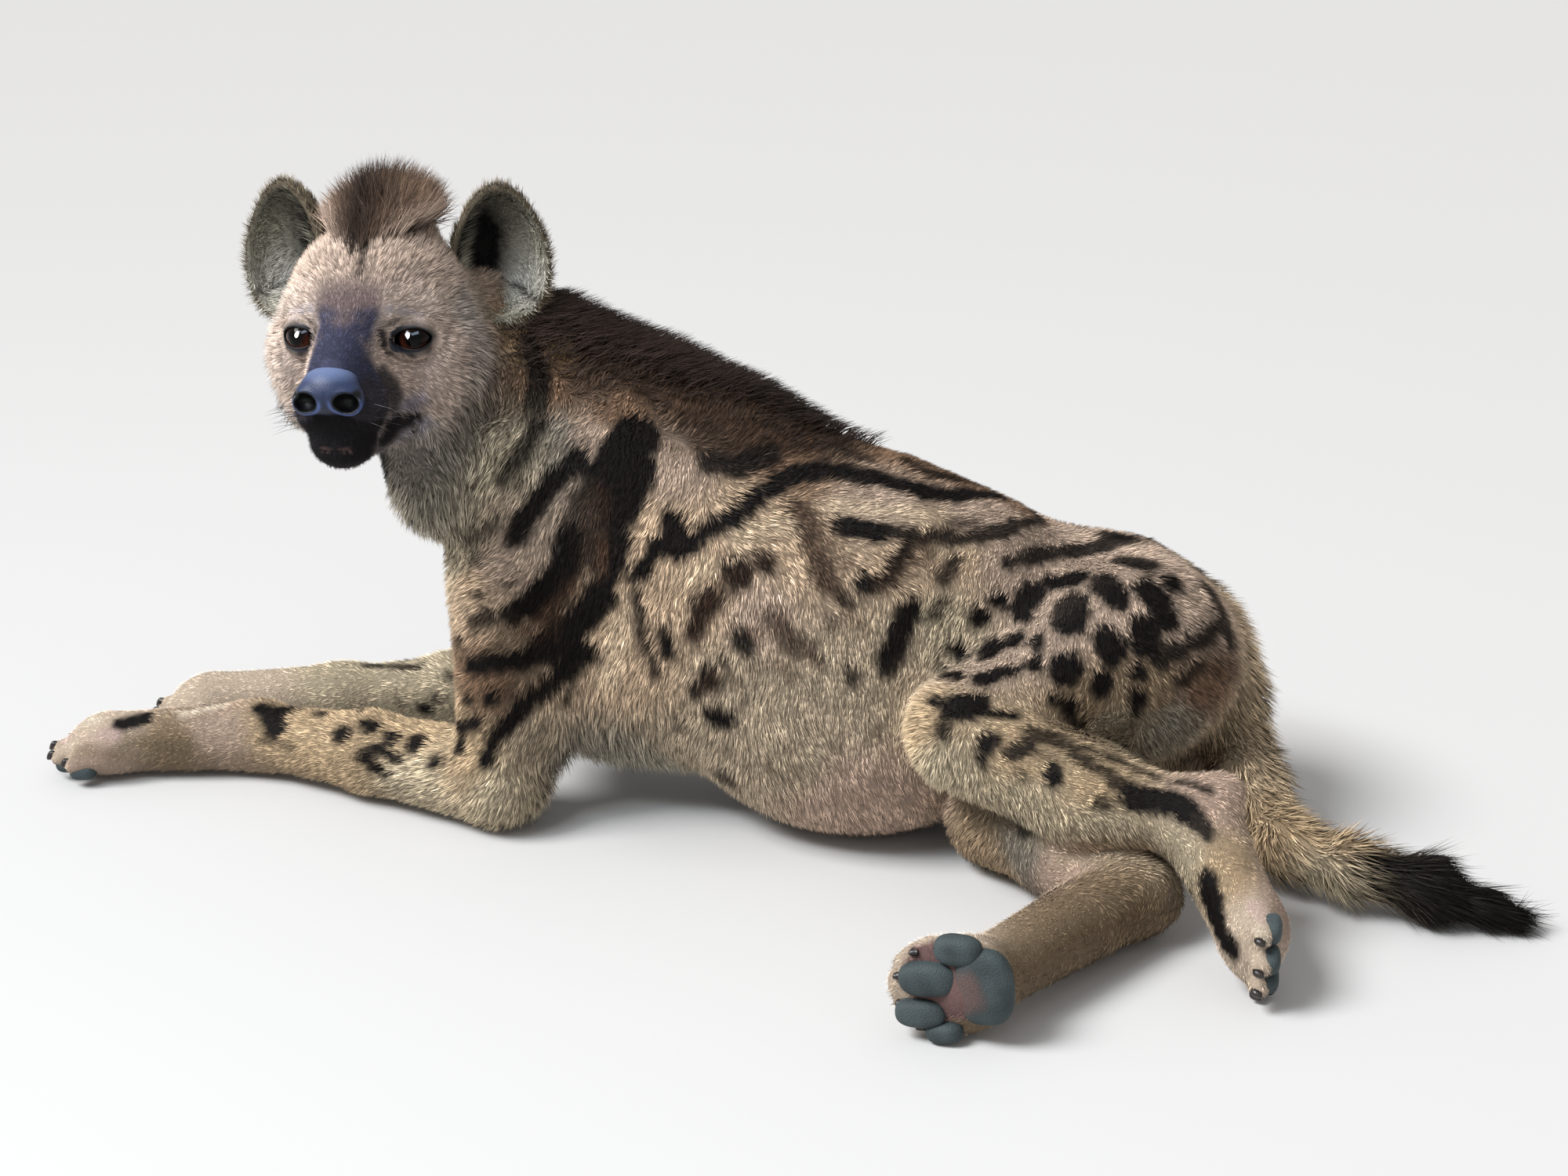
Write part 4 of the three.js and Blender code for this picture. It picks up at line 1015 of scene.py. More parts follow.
# %% Markings of the body
STROKES = dict(
    saddle=[
        (24, 0.8, (742, 392), (800, 425), (860, 450), (930, 485), (1000, 520), (1060, 540)),
        (30, 0.9, (770, 450), (830, 478), (890, 515), (950, 545), (1010, 548)),
        (22, 0.9, (905, 565), (945, 580), (990, 560)),
        (13, 0.6, (1060, 545), (1140, 562), (1220, 592)),
    ],
    brown=[(14, 0.6, (700, 455), (708, 500)), (12, 0.5, (1230, 600), (1300, 626), (1350, 648))],
    flank_light=[
        (10, 0.6, (940, 690), (985, 670), (1020, 668)),
        (9, 0.6, (1065, 642), (1130, 650), (1210, 656)), (9, 0.5, (900, 720), (880, 740)),
        (12, 0.5, (800, 780), (770, 870)), (9, 0.5, (1240, 690), (1200, 700)),
    ],
    stripe=[
        # shoulder and neck
        (26, 1, (811, 558), (806, 570)), (34, 1, (795, 592), (775, 640)), (36, 1, (766, 650), (752, 690)),
        (16, 1, (722, 690), (716, 738)), (21, 1, (706, 752), (684, 772)), (12, 1, (684, 776), (650, 786)),
        (8, 0.9, (650, 786), (600, 797)),
        (17, 1, (784, 690), (772, 735)), (19, 1, (764, 762), (736, 797)), (20, 1, (728, 803), (696, 830)),
        (14, 1, (690, 838), (664, 847)), (11, 1, (664, 848), (632, 850), (600, 853)),
        (12, 1, (735, 585), (718, 604), (690, 630)), (12, 1, (688, 640), (668, 668), (655, 688)),
        (15, 1, (744, 838), (724, 858)), (11, 1, (724, 861), (683, 892), (660, 917), (637, 938)),
        (9, 1, (637, 938), (624, 958), (616, 979)), (8, 0.9, (721, 897)), (11, 1, (622, 894)),
        (8, 1, (591, 894)), (6, 0.5, (652, 894)), (11, 1, (581, 953)), (9, 1, (577, 925), (606, 926)),
        (9, 1, (548, 972)), (9, 0.8, (595, 848)), (6, 0.8, (566, 859)), (7, 0.8, (551, 892)),
        (8, 0.6, (603, 810)), (8, 0.8, (578, 818)), (8, 0.6, (604, 713)), (7, 0.8, (647, 749)),
        (6, 0.8, (604, 762)), (5, 0.7, (629, 667), (591, 693)), (5, 0.5, (594, 629)),
        (12, 0.95, (678, 430), (686, 480), (684, 537)), (9, 0.9, (680, 545), (660, 587), (640, 613)),
        (6, 0.4, (745, 560), (712, 596)),
        # back and flank
        (13, 0.9, (905, 590), (944, 592), (985, 575)), (14, 1, (857, 669), (857, 700)),
        (13, 1, (835, 700), (880, 695)), (9, 1, (807, 741), (830, 712)),
        (10, 1, (885, 688), (936, 662), (974, 630), (1009, 602)),
        (13, 1, (1015, 600), (1066, 595), (1119, 604)), (11, 1, (1119, 604), (1172, 619)),
        (13, 1, (1172, 620), (1215, 627)), (9, 1, (1215, 627), (1263, 623), (1300, 632)),
        (8, 0.8, (1069, 566), (1104, 578)), (10, 0.9, (1164, 583), (1187, 598), (1233, 606), (1286, 622)),
        (7, 0.9, (807, 752), (811, 794), (822, 832), (834, 866)),
        (12, 1, (1075, 669), (1096, 673), (1130, 676)),
        (9, 0.95, (1138, 676), (1180, 684), (1233, 684), (1286, 672), (1341, 656)),
        (9, 1, (1157, 699), (1134, 742)), (13, 1, (1107, 745)), (9, 0.9, (1081, 767)),
        (8, 0.5, (1062, 798)), (13, 1, (978, 720)), (17, 1, (940, 733)), (13, 1, (904, 768), (892, 782)),
        (10, 1, (886, 795), (882, 808)), (9, 1, (845, 810), (849, 838)), (11, 0.95, (944, 815), (945, 826)),
        (6, 0.6, (1050, 851)), (7, 0.3, (1039, 881)), (7, 0.9, (1088, 860), (1088, 872)),
        (6, 0.8, (921, 851)), (13, 1, (903, 873)), (9, 1, (883, 889)), (11, 1, (902, 918), (922, 922)),
        (6, 0.5, (944, 897)), (7, 0.7, (862, 927)), (10, 0.85, (915, 998), (928, 1000)),
        (7, 0.3, (967, 859)), (6, 0.3, (980, 990)), (6, 0.3, (1120, 940)),
        (12, 1, (1161, 779), (1145, 824), (1134, 852)), (9, 0.9, (1218, 718), (1206, 738)),
        (6, 0.85, (1204, 768), (1187, 790)), (8, 0.7, (1211, 669), (1250, 662)),
        # thigh
        (9, 0.95, (1292, 717), (1320, 708), (1349, 701)), (13, 0.95, (1365, 698), (1406, 690), (1448, 680)),
        (7, 0.9, (1370, 662), (1398, 660)), (15, 1, (1437, 707), (1466, 714)), (15, 1, (1500, 738)),
        (15, 1, (1464, 748), (1484, 771), (1496, 790)), (13, 1, (1342, 738), (1372, 731)),
        (16, 1, (1407, 738), (1428, 759)), (20, 1, (1366, 772), (1362, 790)), (12, 1, (1356, 792)),
        (18, 1, (1463, 803), (1464, 820)), (17, 1, (1414, 818), (1422, 830)), (20, 1, (1362, 852)),
        (12, 1, (1410, 868), (1409, 878)), (11, 1, (1458, 859)), (9, 1, (1456, 892), (1454, 908)),
        (9, 1, (1350, 894), (1370, 908)), (12, 1, (1320, 750), (1302, 779)), (10, 1, (1276, 768)),
        (11, 1, (1249, 789)), (11, 1, (1293, 811)), (10, 1, (1321, 816)), (11, 1, (1319, 846)),
        (15, 1, (1258, 825)), (9, 1, (1221, 831)), (9, 1, (1247, 861), (1288, 853)),
        (8, 1, (1198, 851), (1221, 859)), (9, 1, (1187, 888)), (17, 1, (1214, 900), (1250, 896)),
        (6, 1, (1276, 909), (1300, 910)), (11, 0.95, (1484, 844), (1526, 823), (1562, 797)),
        (7, 0.9, (1508, 875), (1538, 849)), (11, 0.9, (1546, 745), (1562, 775), (1576, 815)),
        # shank and foot
        (11, 0.95, (1197, 932), (1197, 941)), (11, 1, (1264, 944), (1256, 952)), (9, 1, (1252, 974)),
        (8, 0.95, (1290, 962), (1312, 950)), (10, 1, (1341, 984), (1341, 996)), (8, 0.5, (1341, 964)),
        (9, 0.6, (1305, 997)), (10, 0.85, (1409, 1028)), (9, 0.9, (1428, 1000), (1440, 1000)),
        (16, 1, (1450, 1018), (1480, 1018), (1508, 1030)), (10, 0.95, (1524, 1044), (1541, 1062)),
        (9, 0.9, (1318, 929), (1354, 940), (1380, 961), (1419, 984)),
        (4, 0.9, (1390, 948), (1458, 976), (1546, 1008)), (15, 1, (1536, 1132), (1544, 1184), (1562, 1214)),
        # foreleg
        (9, 1, (410, 902)), (11, 1, (429, 934)), (7, 1, (461, 898)), (12, 1, (468, 920)),
        (7, 0.5, (505, 896)), (10, 1, (535, 909)), (9, 1, (495, 938)), (12, 1, (524, 945)),
        (6, 1, (472, 953), (501, 966)), (8, 1, (457, 966), (482, 987)),
        (11, 1, (334, 897), (362, 899)), (13, 1, (340, 905), (346, 926)), (6, 0.6, (332, 945), (362, 953)),
        (11, 1, (156, 917), (182, 909)), (6, 0.9, (468, 841), (525, 845)),
        # forehead
        (10, 0.9, (480, 262), (472, 285)), (6, 0.9, (470, 292), (463, 312)), (3, 0.8, (462, 318), (457, 342)),
    ],
    dark_brown=[(12, 0.9, (1024, 645), (1035, 684), (1043, 714), (1060, 748)),
                (11, 0.8, (986, 790), (1005, 822), (1026, 834)), (14, 0.5, (1560, 850), (1590, 850)),
                (14, 0.55, (760, 639), (754, 733)), (9, 0.7, (980, 717), (948, 733), (922, 749)),
                (9, 0.7, (922, 749), (896, 780), (880, 817)), (9, 0.7, (1035, 655), (1052, 690), (1062, 735)),
                (8, 0.6, (1010, 650), (1028, 680)), (11, 0.6, (1185, 700), (1130, 745)),
                (9, 0.6, (922, 862), (894, 885)), (10, 0.5, (1060, 690), (1075, 720)),
                (8, 0.5, (700, 810), (650, 822)), (9, 0.5, (690, 870), (660, 880))],
    brown_light=[
        (6, 0.5, (959, 859)), (6, 0.45, (938, 875)), (7, 0.5, (990, 850), (1000, 856)),
        (6, 0.4, (1011, 870)), (6, 0.4, (1040, 850)), (7, 0.35, (1006, 959)), (6, 0.35, (975, 980)),
        (7, 0.4, (1080, 790), (1100, 800)), (6, 0.4, (960, 800), (966, 812)), (6, 0.4, (870, 850)),
        (4, 0.8, (762, 690), (764, 730)), (7, 0.7, (734, 754), (698, 795), (668, 808)),
    ],
    bare_skin=[(50, 1, (1203, 1256))],
    # painted shade: the lower part of the front paw, darker where it turns away from the light
    olive=[(9, 0.6, (160, 948), (230, 950)), (7, 0.5, (90, 958), (150, 962))],
    # painted highlights: the tops of the toes, lighter where the light falls on them
    toe_highlight=[(8, 0.8, (72, 922), (118, 912)), (9, 0.7, (1612, 1206), (1600, 1190)),
               (6, 0.7, (230, 905), (280, 893))],
    toe_pink=[(7, 0.7, (75, 940), (140, 936)), (9, 0.6, (1600, 1150), (1612, 1162))],
)
print("strokes of the body:", sum(map(len, STROKES.values())))

# %% Markings of the face
FACE_STROKES = dict(
    brow=[(5, 0.6, (502, 393)), (5, 0.45, (520, 397), (542, 405))],
    under_eye=[(12, 0.6, (492, 456), (515, 470), (550, 466)), (12, 0.4, (520, 484), (550, 492))],
    lilac=[(9, 0.7, (527, 522), (540, 512)), (8, 0.6, (545, 545), (520, 572))],
    mask=[
        (9, 0.8, (436, 398), (478, 396)), (9, 0.95, (478, 400), (470, 424)),
        (14, 0.95, (436, 412), (458, 414)),
        (18, 0.95, (440, 424), (452, 438)), (19, 0.95, (450, 445), (456, 462)),
        (20, 0.95, (430, 455), (440, 470)), (17, 0.9, (474, 474), (488, 486)),
    ],
    grizzle=[(9, 0.6, (438, 380), (440, 402))],
    bridge=[(9, 0.75, (426, 462), (414, 468))],
    muzzle=[(22, 0.95, (486, 500), (496, 520)), (26, 0.95, (484, 530), (480, 545)),
            (13, 0.9, (498, 480), (510, 498), (512, 518))],
    lip=[
        (13, 1, (512, 545), (500, 560)), (18, 1, (410, 548), (440, 555), (486, 556)),
        (15, 1, (410, 588), (445, 588), (472, 584)), (9, 1, (500, 568), (524, 548), (532, 539)),
    ],
    lip_pale=[(1.6, 0.5, (404, 577), (420, 578))],
    # round_eye: the dark round the eye; its thin last stroke, along the upper lid, is painted shade in the
    # lid's crease
    round_eye=[(6, 0.95, (493, 422), (498, 437)), (4, 0.85, (502, 449), (530, 453), (551, 446)),
               (2.4, 0.7, (494, 415), (520, 410), (546, 418), (557, 430))],
)


print("strokes of the face:", sum(map(len, FACE_STROKES.values())))

# %% [markdown]
# Strokes are painted over the coat's own colour. A slow ripple bends their edges, as the hair
# of a real spot ends unevenly.

# %% Painting with strokes


def ripple(points, size, seed, waves=9):
    """Slow noise between about -1 and 1: the mean of sine waves in random directions."""
    rng = np.random.default_rng(seed)
    total = np.zeros(len(points))
    for direction, phase, pitch in zip(unit(rng.normal(size=(waves, 3))),
                                       rng.uniform(0, 2 * np.pi, waves),
                                       rng.uniform(0.6, 1.6, waves)):
        total += np.sin(points @ direction * (2 * np.pi * pitch / size) + phase)
    return total / np.sqrt(waves / 2) / 1.6


def stroke_segments(tables):
    """Every stroke as segments on the coat: ends, radius in mm, how dark, and its colour's row."""
    rows = [(kind, row) for kind, table in enumerate(tables.values()) for row in table]
    pixels = np.concatenate([np.array(points, float) for _, (_, _, *points) in rows])
    place = over_skin(pixels)
    scale = (camera_place - place) @ camera_back / FOCAL
    starts, ends, radii, darks, kinds = [], [], [], [], []
    first = 0
    for kind, (radius, dark, *points) in rows:
        for i in range(first, first + max(1, len(points) - 1)):
            j = min(i + 1, first + len(points) - 1)
            starts.append(place[i])
            ends.append(place[j])
            radii.append(radius * (scale[i] + scale[j]) / 2)
            darks.append(dark)
            kinds.append(kind)
        first += len(points)
    return (np.array(starts), np.array(ends), np.array(radii), np.array(darks), np.array(kinds))


# how wide the soft edge of each colour is, in mm, and how much wider a stroke grows on hair
EDGE = dict(stripe=5, dark_brown=10, saddle=16, brown=14, brown_light=8, flank_light=14,
            bare_skin=4, brow=8, under_eye=10, lilac=8, mask=11, bridge=8, muzzle=9, lip=6,
            lip_pale=1.5, round_eye=5, grizzle=12, toe_highlight=6, toe_pink=8, olive=9)
STROKE_SPREAD = 0.22


def paint(points, base, tables, segments, chosen, wobble):
    """The base colour with strokes over it, colour by colour.

    A point is covered where its distance to a stroke, less a slow wobble, is under the
    stroke's radius, with a soft edge of the colour's own width."""
    start, end, radius, dark, kind = segments
    wavy = wobble * (1.4 + 1.5 * ripple(points, 34, 5) + 1.2 * ripple(points, 13, 6))
    radius = radius * (1 + STROKE_SPREAD * wobble)
    colour = base
    for row, name in enumerate(tables):
        cover = np.zeros(len(points))
        for k in np.nonzero(chosen & (kind == row))[0]:
            axis = end[k] - start[k]
            t = np.clip((points - start[k]) @ axis / max(axis @ axis, 1e-6), 0, 1)
            distance = np.linalg.norm(points - start[k] - t[:, None] * axis, axis=1)
            inside = np.clip((radius[k] + wavy - distance) / EDGE[name] + 0.5, 0, 1)
            cover = np.maximum(cover, dark[k] * inside * inside * (3 - 2 * inside))
        colour = colour + (COLOURS[name] - colour) * cover[:, None]
    return colour


# %% [markdown]
# The face is drawn once and folded, so both its sides are alike. Where a leg faces away from
# the picture it gets spots of its own, at random but well apart.

# %% Strokes of the face and spots out of sight
FACE_SEGMENTS = stroke_segments(FACE_STROKES)
FACE_SEGMENTS = (*(fold_head(end)[0] for end in FACE_SEGMENTS[:2]), *FACE_SEGMENTS[2:])
LEG_PARTS = [part_number(name) for name in PARTS if name.startswith(("arm", "leg"))]
PAW_REACH = 85


def spots_out_of_sight(seed, spacing):
    """Spots of the legs where the picture doesn't show them, at random but well apart."""
    rng = np.random.default_rng(seed)
    away = (skin_normals @ camera_back < -0.1) & (skin_verts[:, 2] > 25)
    for paw in PAWS.values():
        away &= np.linalg.norm(skin_verts - paw.centre, axis=1) > PAW_REACH
    chosen = []
    places = skin_verts[away]
    on_leg = part_shares(places)[:, LEG_PARTS].sum(1) > 0.7
    for place in rng.permutation(places[on_leg]):
        if all(np.linalg.norm(place - other) > spacing for other in chosen):
            chosen.append(place)
    chosen = np.array(chosen)
    end = chosen + rng.normal(scale=3, size=chosen.shape)
    count = len(chosen)
    return (chosen, end, rng.uniform(4, 9, count), rng.uniform(0.75, 1, count),
            np.full(count, list(STROKES).index("stripe")))


STROKE_SEGMENTS = tuple(np.concatenate(pair) for pair in zip(
    stroke_segments(STROKES), spots_out_of_sight(26, 34)))
stroke_share = part_shares((STROKE_SEGMENTS[0] + STROKE_SEGMENTS[1]) / 2)
STROKE_REACH = 0.07
print("stroke segments:", len(stroke_share), "and", len(FACE_SEGMENTS[2]), "on the face")

# %% [markdown]
# With arrows and strokes in place the coat can be read at any point. The far side of the trunk
# borrows the markings of the near side, shifted by a slow noise.

# %% Reading the map anywhere
SWAP_SIDE, SWAP_Y = vec(-1, 1, 1), vec(1, -1, 1)
SHIFT_OF_MARKS, SIZE_OF_SHIFT = 20, 170
COLOUR_AT = 0.45
ARROW_CORE, ARROW_FALL = 12.0, 2.2
LEAST_SHARE = 0.02


def opposite(points):
    """The places on the side in view that lend their markings to folded points of the far side.

    They are shifted by a slow noise, since the two sides of an animal never match."""
    along, up = (ripple(points, SIZE_OF_SHIFT, seed) for seed in (77, 78))
    start = points + SHIFT_OF_MARKS * np.stack([along, np.zeros(len(points)), 0.7 * up], 1)
    start[:, 1] = -420
    return cast(skin_field, start, vec(0, 1, 0), rounds=40)


def read_map(points):
    """Colour, lie, length and lift of the coat at any points.

    Each part blends its own arrows by (distance^2 + 12^2)^-2.2, and the parts blend by their
    shares. The colour is read a little under halfway along the hair."""
    shares = part_shares(points)
    folds = dict(head=fold_head(points), trunk=fold_trunk(points))
    colour, lie = np.zeros((len(points), 3)), np.zeros((len(points), 3))
    length, lift = np.zeros(len(points)), np.zeros(len(points))
    for index, name in enumerate(PARTS):
        use = shares[:, index] > LEAST_SHARE
        own = np.nonzero(map_part == index)[0]
        if not len(own) or not use.any():
            continue
        place, far = (x[use] for x in folds.get(name, (points, np.zeros(len(points), bool))))
        own_place, own_lie = map_place[own], map_lie[own]
        if name == "head":
            own_place = np.concatenate([own_place, from_head(to_head(own_place) * SWAP_SIDE)])
            swapped = (own_lie @ HEAD_AXES * SWAP_SIDE) @ HEAD_AXES.T
            own_lie, own = np.concatenate([own_lie, swapped]), np.concatenate([own, own])
        gap = ((place[:, None] - own_place[None]) ** 2).sum(-1) + ARROW_CORE ** 2
        weight = gap ** -ARROW_FALL
        weight /= weight.sum(1, keepdims=True)
        near_lie = weight @ own_lie
        own_length = weight @ map_length[own]
        reach = COLOUR_AT * own_length[:, None]
        stroked = place + reach * near_lie
        base = weight @ map_colour[own]
        of_part = stroke_share[:, index] > STROKE_REACH
        if name == "head":
            swap = np.where(far[:, None], SWAP_SIDE, 1)
            direction = (near_lie @ HEAD_AXES * swap) @ HEAD_AXES.T
            part_colour = paint(points[use] + reach * direction, base, STROKES,
                                STROKE_SEGMENTS, of_part, 0.5)
            part_colour = paint(stroked, part_colour, FACE_STROKES, FACE_SEGMENTS, True, 0.4)
        else:
            direction = near_lie * np.where(far[:, None], SWAP_Y, 1)
            part_colour = paint(stroked, base, STROKES, STROKE_SEGMENTS, of_part, 1)
            if far.any():
                part_colour[far] = paint(opposite(stroked[far]), base[far], STROKES,
                                         STROKE_SEGMENTS, True, 1)
        share = shares[use, index]
        colour[use] += share[:, None] * part_colour
        lie[use] += share[:, None] * direction
        length[use] += share * own_length
        lift[use] += share * (weight @ map_lift[own])
    total = np.maximum(shares.sum(1), 1e-6)
    return colour / total[:, None], unit(lie + 1e-9), length / total, lift / total


skin_colour, skin_lie, skin_length, skin_lift = read_map(skin_verts + COAT_SURFACE * skin_normals)
SHADE_UNDER_THE_COAT = 0.4


def store_colour(mesh, colours):
    layer = mesh.attributes.new("coat_colour", "FLOAT_COLOR", "POINT")
    layer.data.foreach_set("color", np.column_stack(
        [colours, np.ones(len(colours))]).astype(np.float32).ravel())


store_colour(skin.data, skin_colour * SHADE_UNDER_THE_COAT)
print("colour of skin corners from", skin_colour.min(0).round(3), "to", skin_colour.max(0).round(3))

# %% [markdown]
# Now the coat itself. Each tuft is a small closed solid: a three-sided spike where the hair is
# short and straight, and a strand with a bend where it is long. Its root stands a little
# inside the skin. Tufts grow where seeded chance puts them, as many to a square centimetre as
# the length of the hair asks for, and neighbours lean together at the tips as real hair does.

# %% Growing tufts
SINK = 1.5
CLUMP_SIZE, CLUMP_PULL = 10.0, 0.32


def scatter(rng, area, per_mm2):
    """Random roots on triangles: their numbers, and weights of each triangle's corners."""
    count = rng.poisson(area * per_mm2)
    triangle = np.repeat(np.arange(len(area)), count)
    a, b = rng.random((2, len(triangle)))
    flip = a + b > 1
    a[flip], b[flip] = 1 - a[flip], 1 - b[flip]
    return triangle, np.stack([1 - a - b, a, b], 1)


def at_roots(values, triangle, share, triangles=skin_triangles):
    """A value held at the corners of a mesh, read at roots inside its triangles."""
    corners = values[triangles[triangle]]
    return (corners * share.reshape(share.shape + (1,) * (corners.ndim - 2))).sum(1)


def laid_flat(lie, normal):
    """The part of a direction that runs along the skin, one unit long."""
    return unit(lie - (lie * normal).sum(1, keepdims=True) * normal)


def raised(angle, lie, normal):
    """The direction that stands at an angle over the lie of the hair."""
    return np.cos(angle)[:, None] * lie + np.sin(angle)[:, None] * normal


def lean_together(root, tip, pull=CLUMP_PULL):
    """Pulls each tip towards the mean tip of the roots that share its small patch of skin."""
    wobble = 3 * np.stack([ripple(root, 20, seed) for seed in (21, 22, 23)], 1)
    cell = np.floor((root + wobble) / CLUMP_SIZE).astype(np.int64)
    cell -= cell.min(0)
    size = cell.max(0) + 1
    code = (cell[:, 0] * size[1] + cell[:, 1]) * size[2] + cell[:, 2]
    clump = np.unique(code, return_inverse=True)[1].ravel()
    count = np.bincount(clump)
    mean_reach, mean_root = (
        np.stack([np.bincount(clump, part[:, k]) / count for k in range(3)], 1)
        for part in (tip - root, root))
    target = mean_root[clump] + mean_reach[clump]
    return tip + pull * (target - tip)


# %% From tufts to a piece of coat


def strands(root, tip, normal, width, bend=None):
    """Closed three-sided spikes from root to tip, or strands with a ring at the bend.

    The rings stand across the strand: two corners at its sides and one on its upper side.
    Spikes have 4 corners and 4 triangles, strands 7 corners and 10 triangles."""
    along = unit((tip if bend is None else bend) - root)
    side = unit(np.cross(along, normal))
    above = np.cross(side, along)
    half = width[:, None] / 2
    ring = [root - side * half, root + side * half, root + above * half * 1.1]
    if bend is None:
        verts = np.stack(ring + [tip], 1)
        faces = [(1, 0, 3), (2, 1, 3), (0, 2, 3), (0, 1, 2)]
    else:
        upper = [bend - side * half * 0.8, bend + side * half * 0.8, bend + above * half * 0.9]
        verts = np.stack(ring + upper + [tip], 1)
        faces = [(1, 0, 4), (4, 0, 3), (2, 1, 5), (5, 1, 4), (0, 2, 3), (3, 2, 5),
                 (4, 3, 6), (5, 4, 6), (3, 5, 6), (0, 1, 2)]
    number = verts.shape[1]
    all_faces = np.arange(len(verts))[:, None, None] * number + np.array(faces)[None]
    return verts.reshape(-1, 3), all_faces.reshape(-1, 3), number


def unwrap(points, axis_start, axis_end):
    """An unwrap round an axis: how far along it, and the angle round it, both from 0 to 1."""
    axis = unit(axis_end - axis_start)
    across = unit(np.cross(axis, UP))
    over = np.cross(across, axis)
    reach = (points - axis_start) @ axis
    turn_round = np.arctan2((points - axis_start) @ across, (points - axis_start) @ over)
    low, high = reach.min(), reach.max()
    u = 0.02 + 0.96 * (reach - low) / max(high - low, 1e-6)
    return np.stack([u, 0.02 + 0.96 * (turn_round / (2 * np.pi) + 0.5)], 1)


PATCH = 0.0015
# how light each corner is: dark at the root and lightest at the tip
STRAND_SHADE = {4: (0.36, 0.36, 0.42, 1.34), 7: (0.35, 0.35, 0.4, 0.85, 0.85, 0.95, 1.3)}
NORMAL_OF_SKIN = 0.45


def coat_piece(name, root, tip, normal, width, colour, axis, bend=None):
    """One piece of coat from its tufts, with its colours, its unwrap and its soft normals."""
    verts, faces, number = strands(root - SINK * normal, tip, normal, width, bend)
    piece = mesh_piece(name, verts, faces, COAT)
    mesh = piece.data
    shade = np.array(STRAND_SHADE[number])
    store_colour(mesh, (colour[:, None] * shade[None, :, None]).reshape(-1, 3))
    offset = [(-1, -1), (1, -1), (0, 0)]
    offset += [(0, 1)] if number == 4 else [(-1, 1), (1, 1), (0, 1), (0, 2)]
    corner_place = (unwrap(root, *axis)[:, None] + PATCH * np.array(offset)).reshape(-1, 2)
    layer = mesh.uv_layers.new(name="OFBake")
    layer.data.foreach_set("uv", corner_place[faces.ravel()].astype(np.float32).ravel())
    middle = verts.reshape(-1, number, 3).mean(1, keepdims=True)
    own = unit(verts.reshape(-1, number, 3) - middle)
    soft = unit(own * (1 - NORMAL_OF_SKIN) + normal[:, None] * NORMAL_OF_SKIN)
    mesh.normals_split_custom_set_from_vertices(soft.reshape(-1, 3))
    return ride(piece, "coat")


# %% [markdown]
# The ears are placed before the coat, as no hair of the neck may grow through their cups.

# %% The ears' places
EAR_OPEN = {s: head_dir(s * 0.38, 0.92, 0.04) for s in SIDES}
EAR_MIDDLE = {1: on_head(103, -114, 57), -1: on_head(-97, -114, 60)}
EAR_HALF, EAR_WALL = (49, 64), 0.86


def ear_axes(s):
    """The ear's own axes: towards the side, up, and out of the cup's mouth."""
    opening = EAR_OPEN[s]
    side = HEAD_AXES @ vec(1, 0, 0)
    side = unit(side - (side @ opening) * opening)
    up = np.cross(opening, side)
    return side, up * np.sign(up[2]), opening


def in_ear(p, s):
    """True inside the cup of an ear, where neither skin nor neck may grow hair."""
    side, up, opening = ear_axes(s)
    off = p - EAR_MIDDLE[s]
    depth = off @ opening
    across = np.hypot(off @ side / EAR_HALF[0], off @ up / EAR_HALF[1])
    return (across < 0.98) & (depth > -52) & (depth < 24)


print("middle of the left ear:", EAR_MIDDLE[1].round(1))

# %% [markdown]
# How densely the coat grows: more tufts where the hair is short, fewer where the animal lies
# on the floor and on legs that hardly show, and none on lids, nose and sole.

# %% How densely the coat grows
length_here = skin_length[skin_triangles].mean(1)
middle_here = corners_of.mean(1)
normal_here = skin_normals[skin_triangles].mean(1)
part_here = part_shares(middle_here).argmax(1)
HAIR_COVER, FEWEST, MOST = 2.6, 0.12, 0.26
per_mm2 = np.clip(HAIR_COVER / length_here, FEWEST, MOST)
for height, downward, kept in ((6, -0.7, 0.02), (40, -0.5, 0.5)):
    low = (middle_here[:, 2] < height) & (normal_here[:, 2] < downward)
    per_mm2 *= np.where(low, kept, 1)
bare = in_head(blob(local(0, 80, -35), (27, 19, 19)))(middle_here) < 1
for s in SIDES:
    off = middle_here - EYE_MIDDLES[s]
    side, up, forward = eye_axes(s)
    bare |= (np.hypot((off @ side + 2) / 21, (off @ up) / 13.6) < 1) & (off @ forward > 0) & (
        np.linalg.norm(off, axis=1) < 40)
sole_at = STROKE_SEGMENTS[4] == list(STROKES).index("bare_skin")
from_sole = np.linalg.norm(middle_here - STROKE_SEGMENTS[0][sole_at], axis=1)
bare |= (from_sole < 0.94 * STROKE_SEGMENTS[2][sole_at]) & (
    normal_here @ PAWS["foot_hind_right"].sole > 0.3)
per_mm2 *= ~bare
SHARE_OF_TUFTS = dict(trunk=0.98, arm_right=0.62, leg_right=0.8)
SHARE_ON_FACE, FACE_HAIR = 1.85, 10
for name, kept in SHARE_OF_TUFTS.items():
    per_mm2 *= np.where(part_here == part_number(name), kept, 1)
on_front = (part_here == part_number("head")) & (length_here < FACE_HAIR)
per_mm2 *= np.where(on_front, SHARE_ON_FACE, 1)
print("tufts to a square millimetre:", per_mm2.min().round(3), "to", per_mm2.max().round(3))

# %% [markdown]
# Each tuft takes the lie that the map gives, swung a little by a slow noise and by chance, and
# neighbours lean together. Colour varies from tuft to tuft and in slow patches.

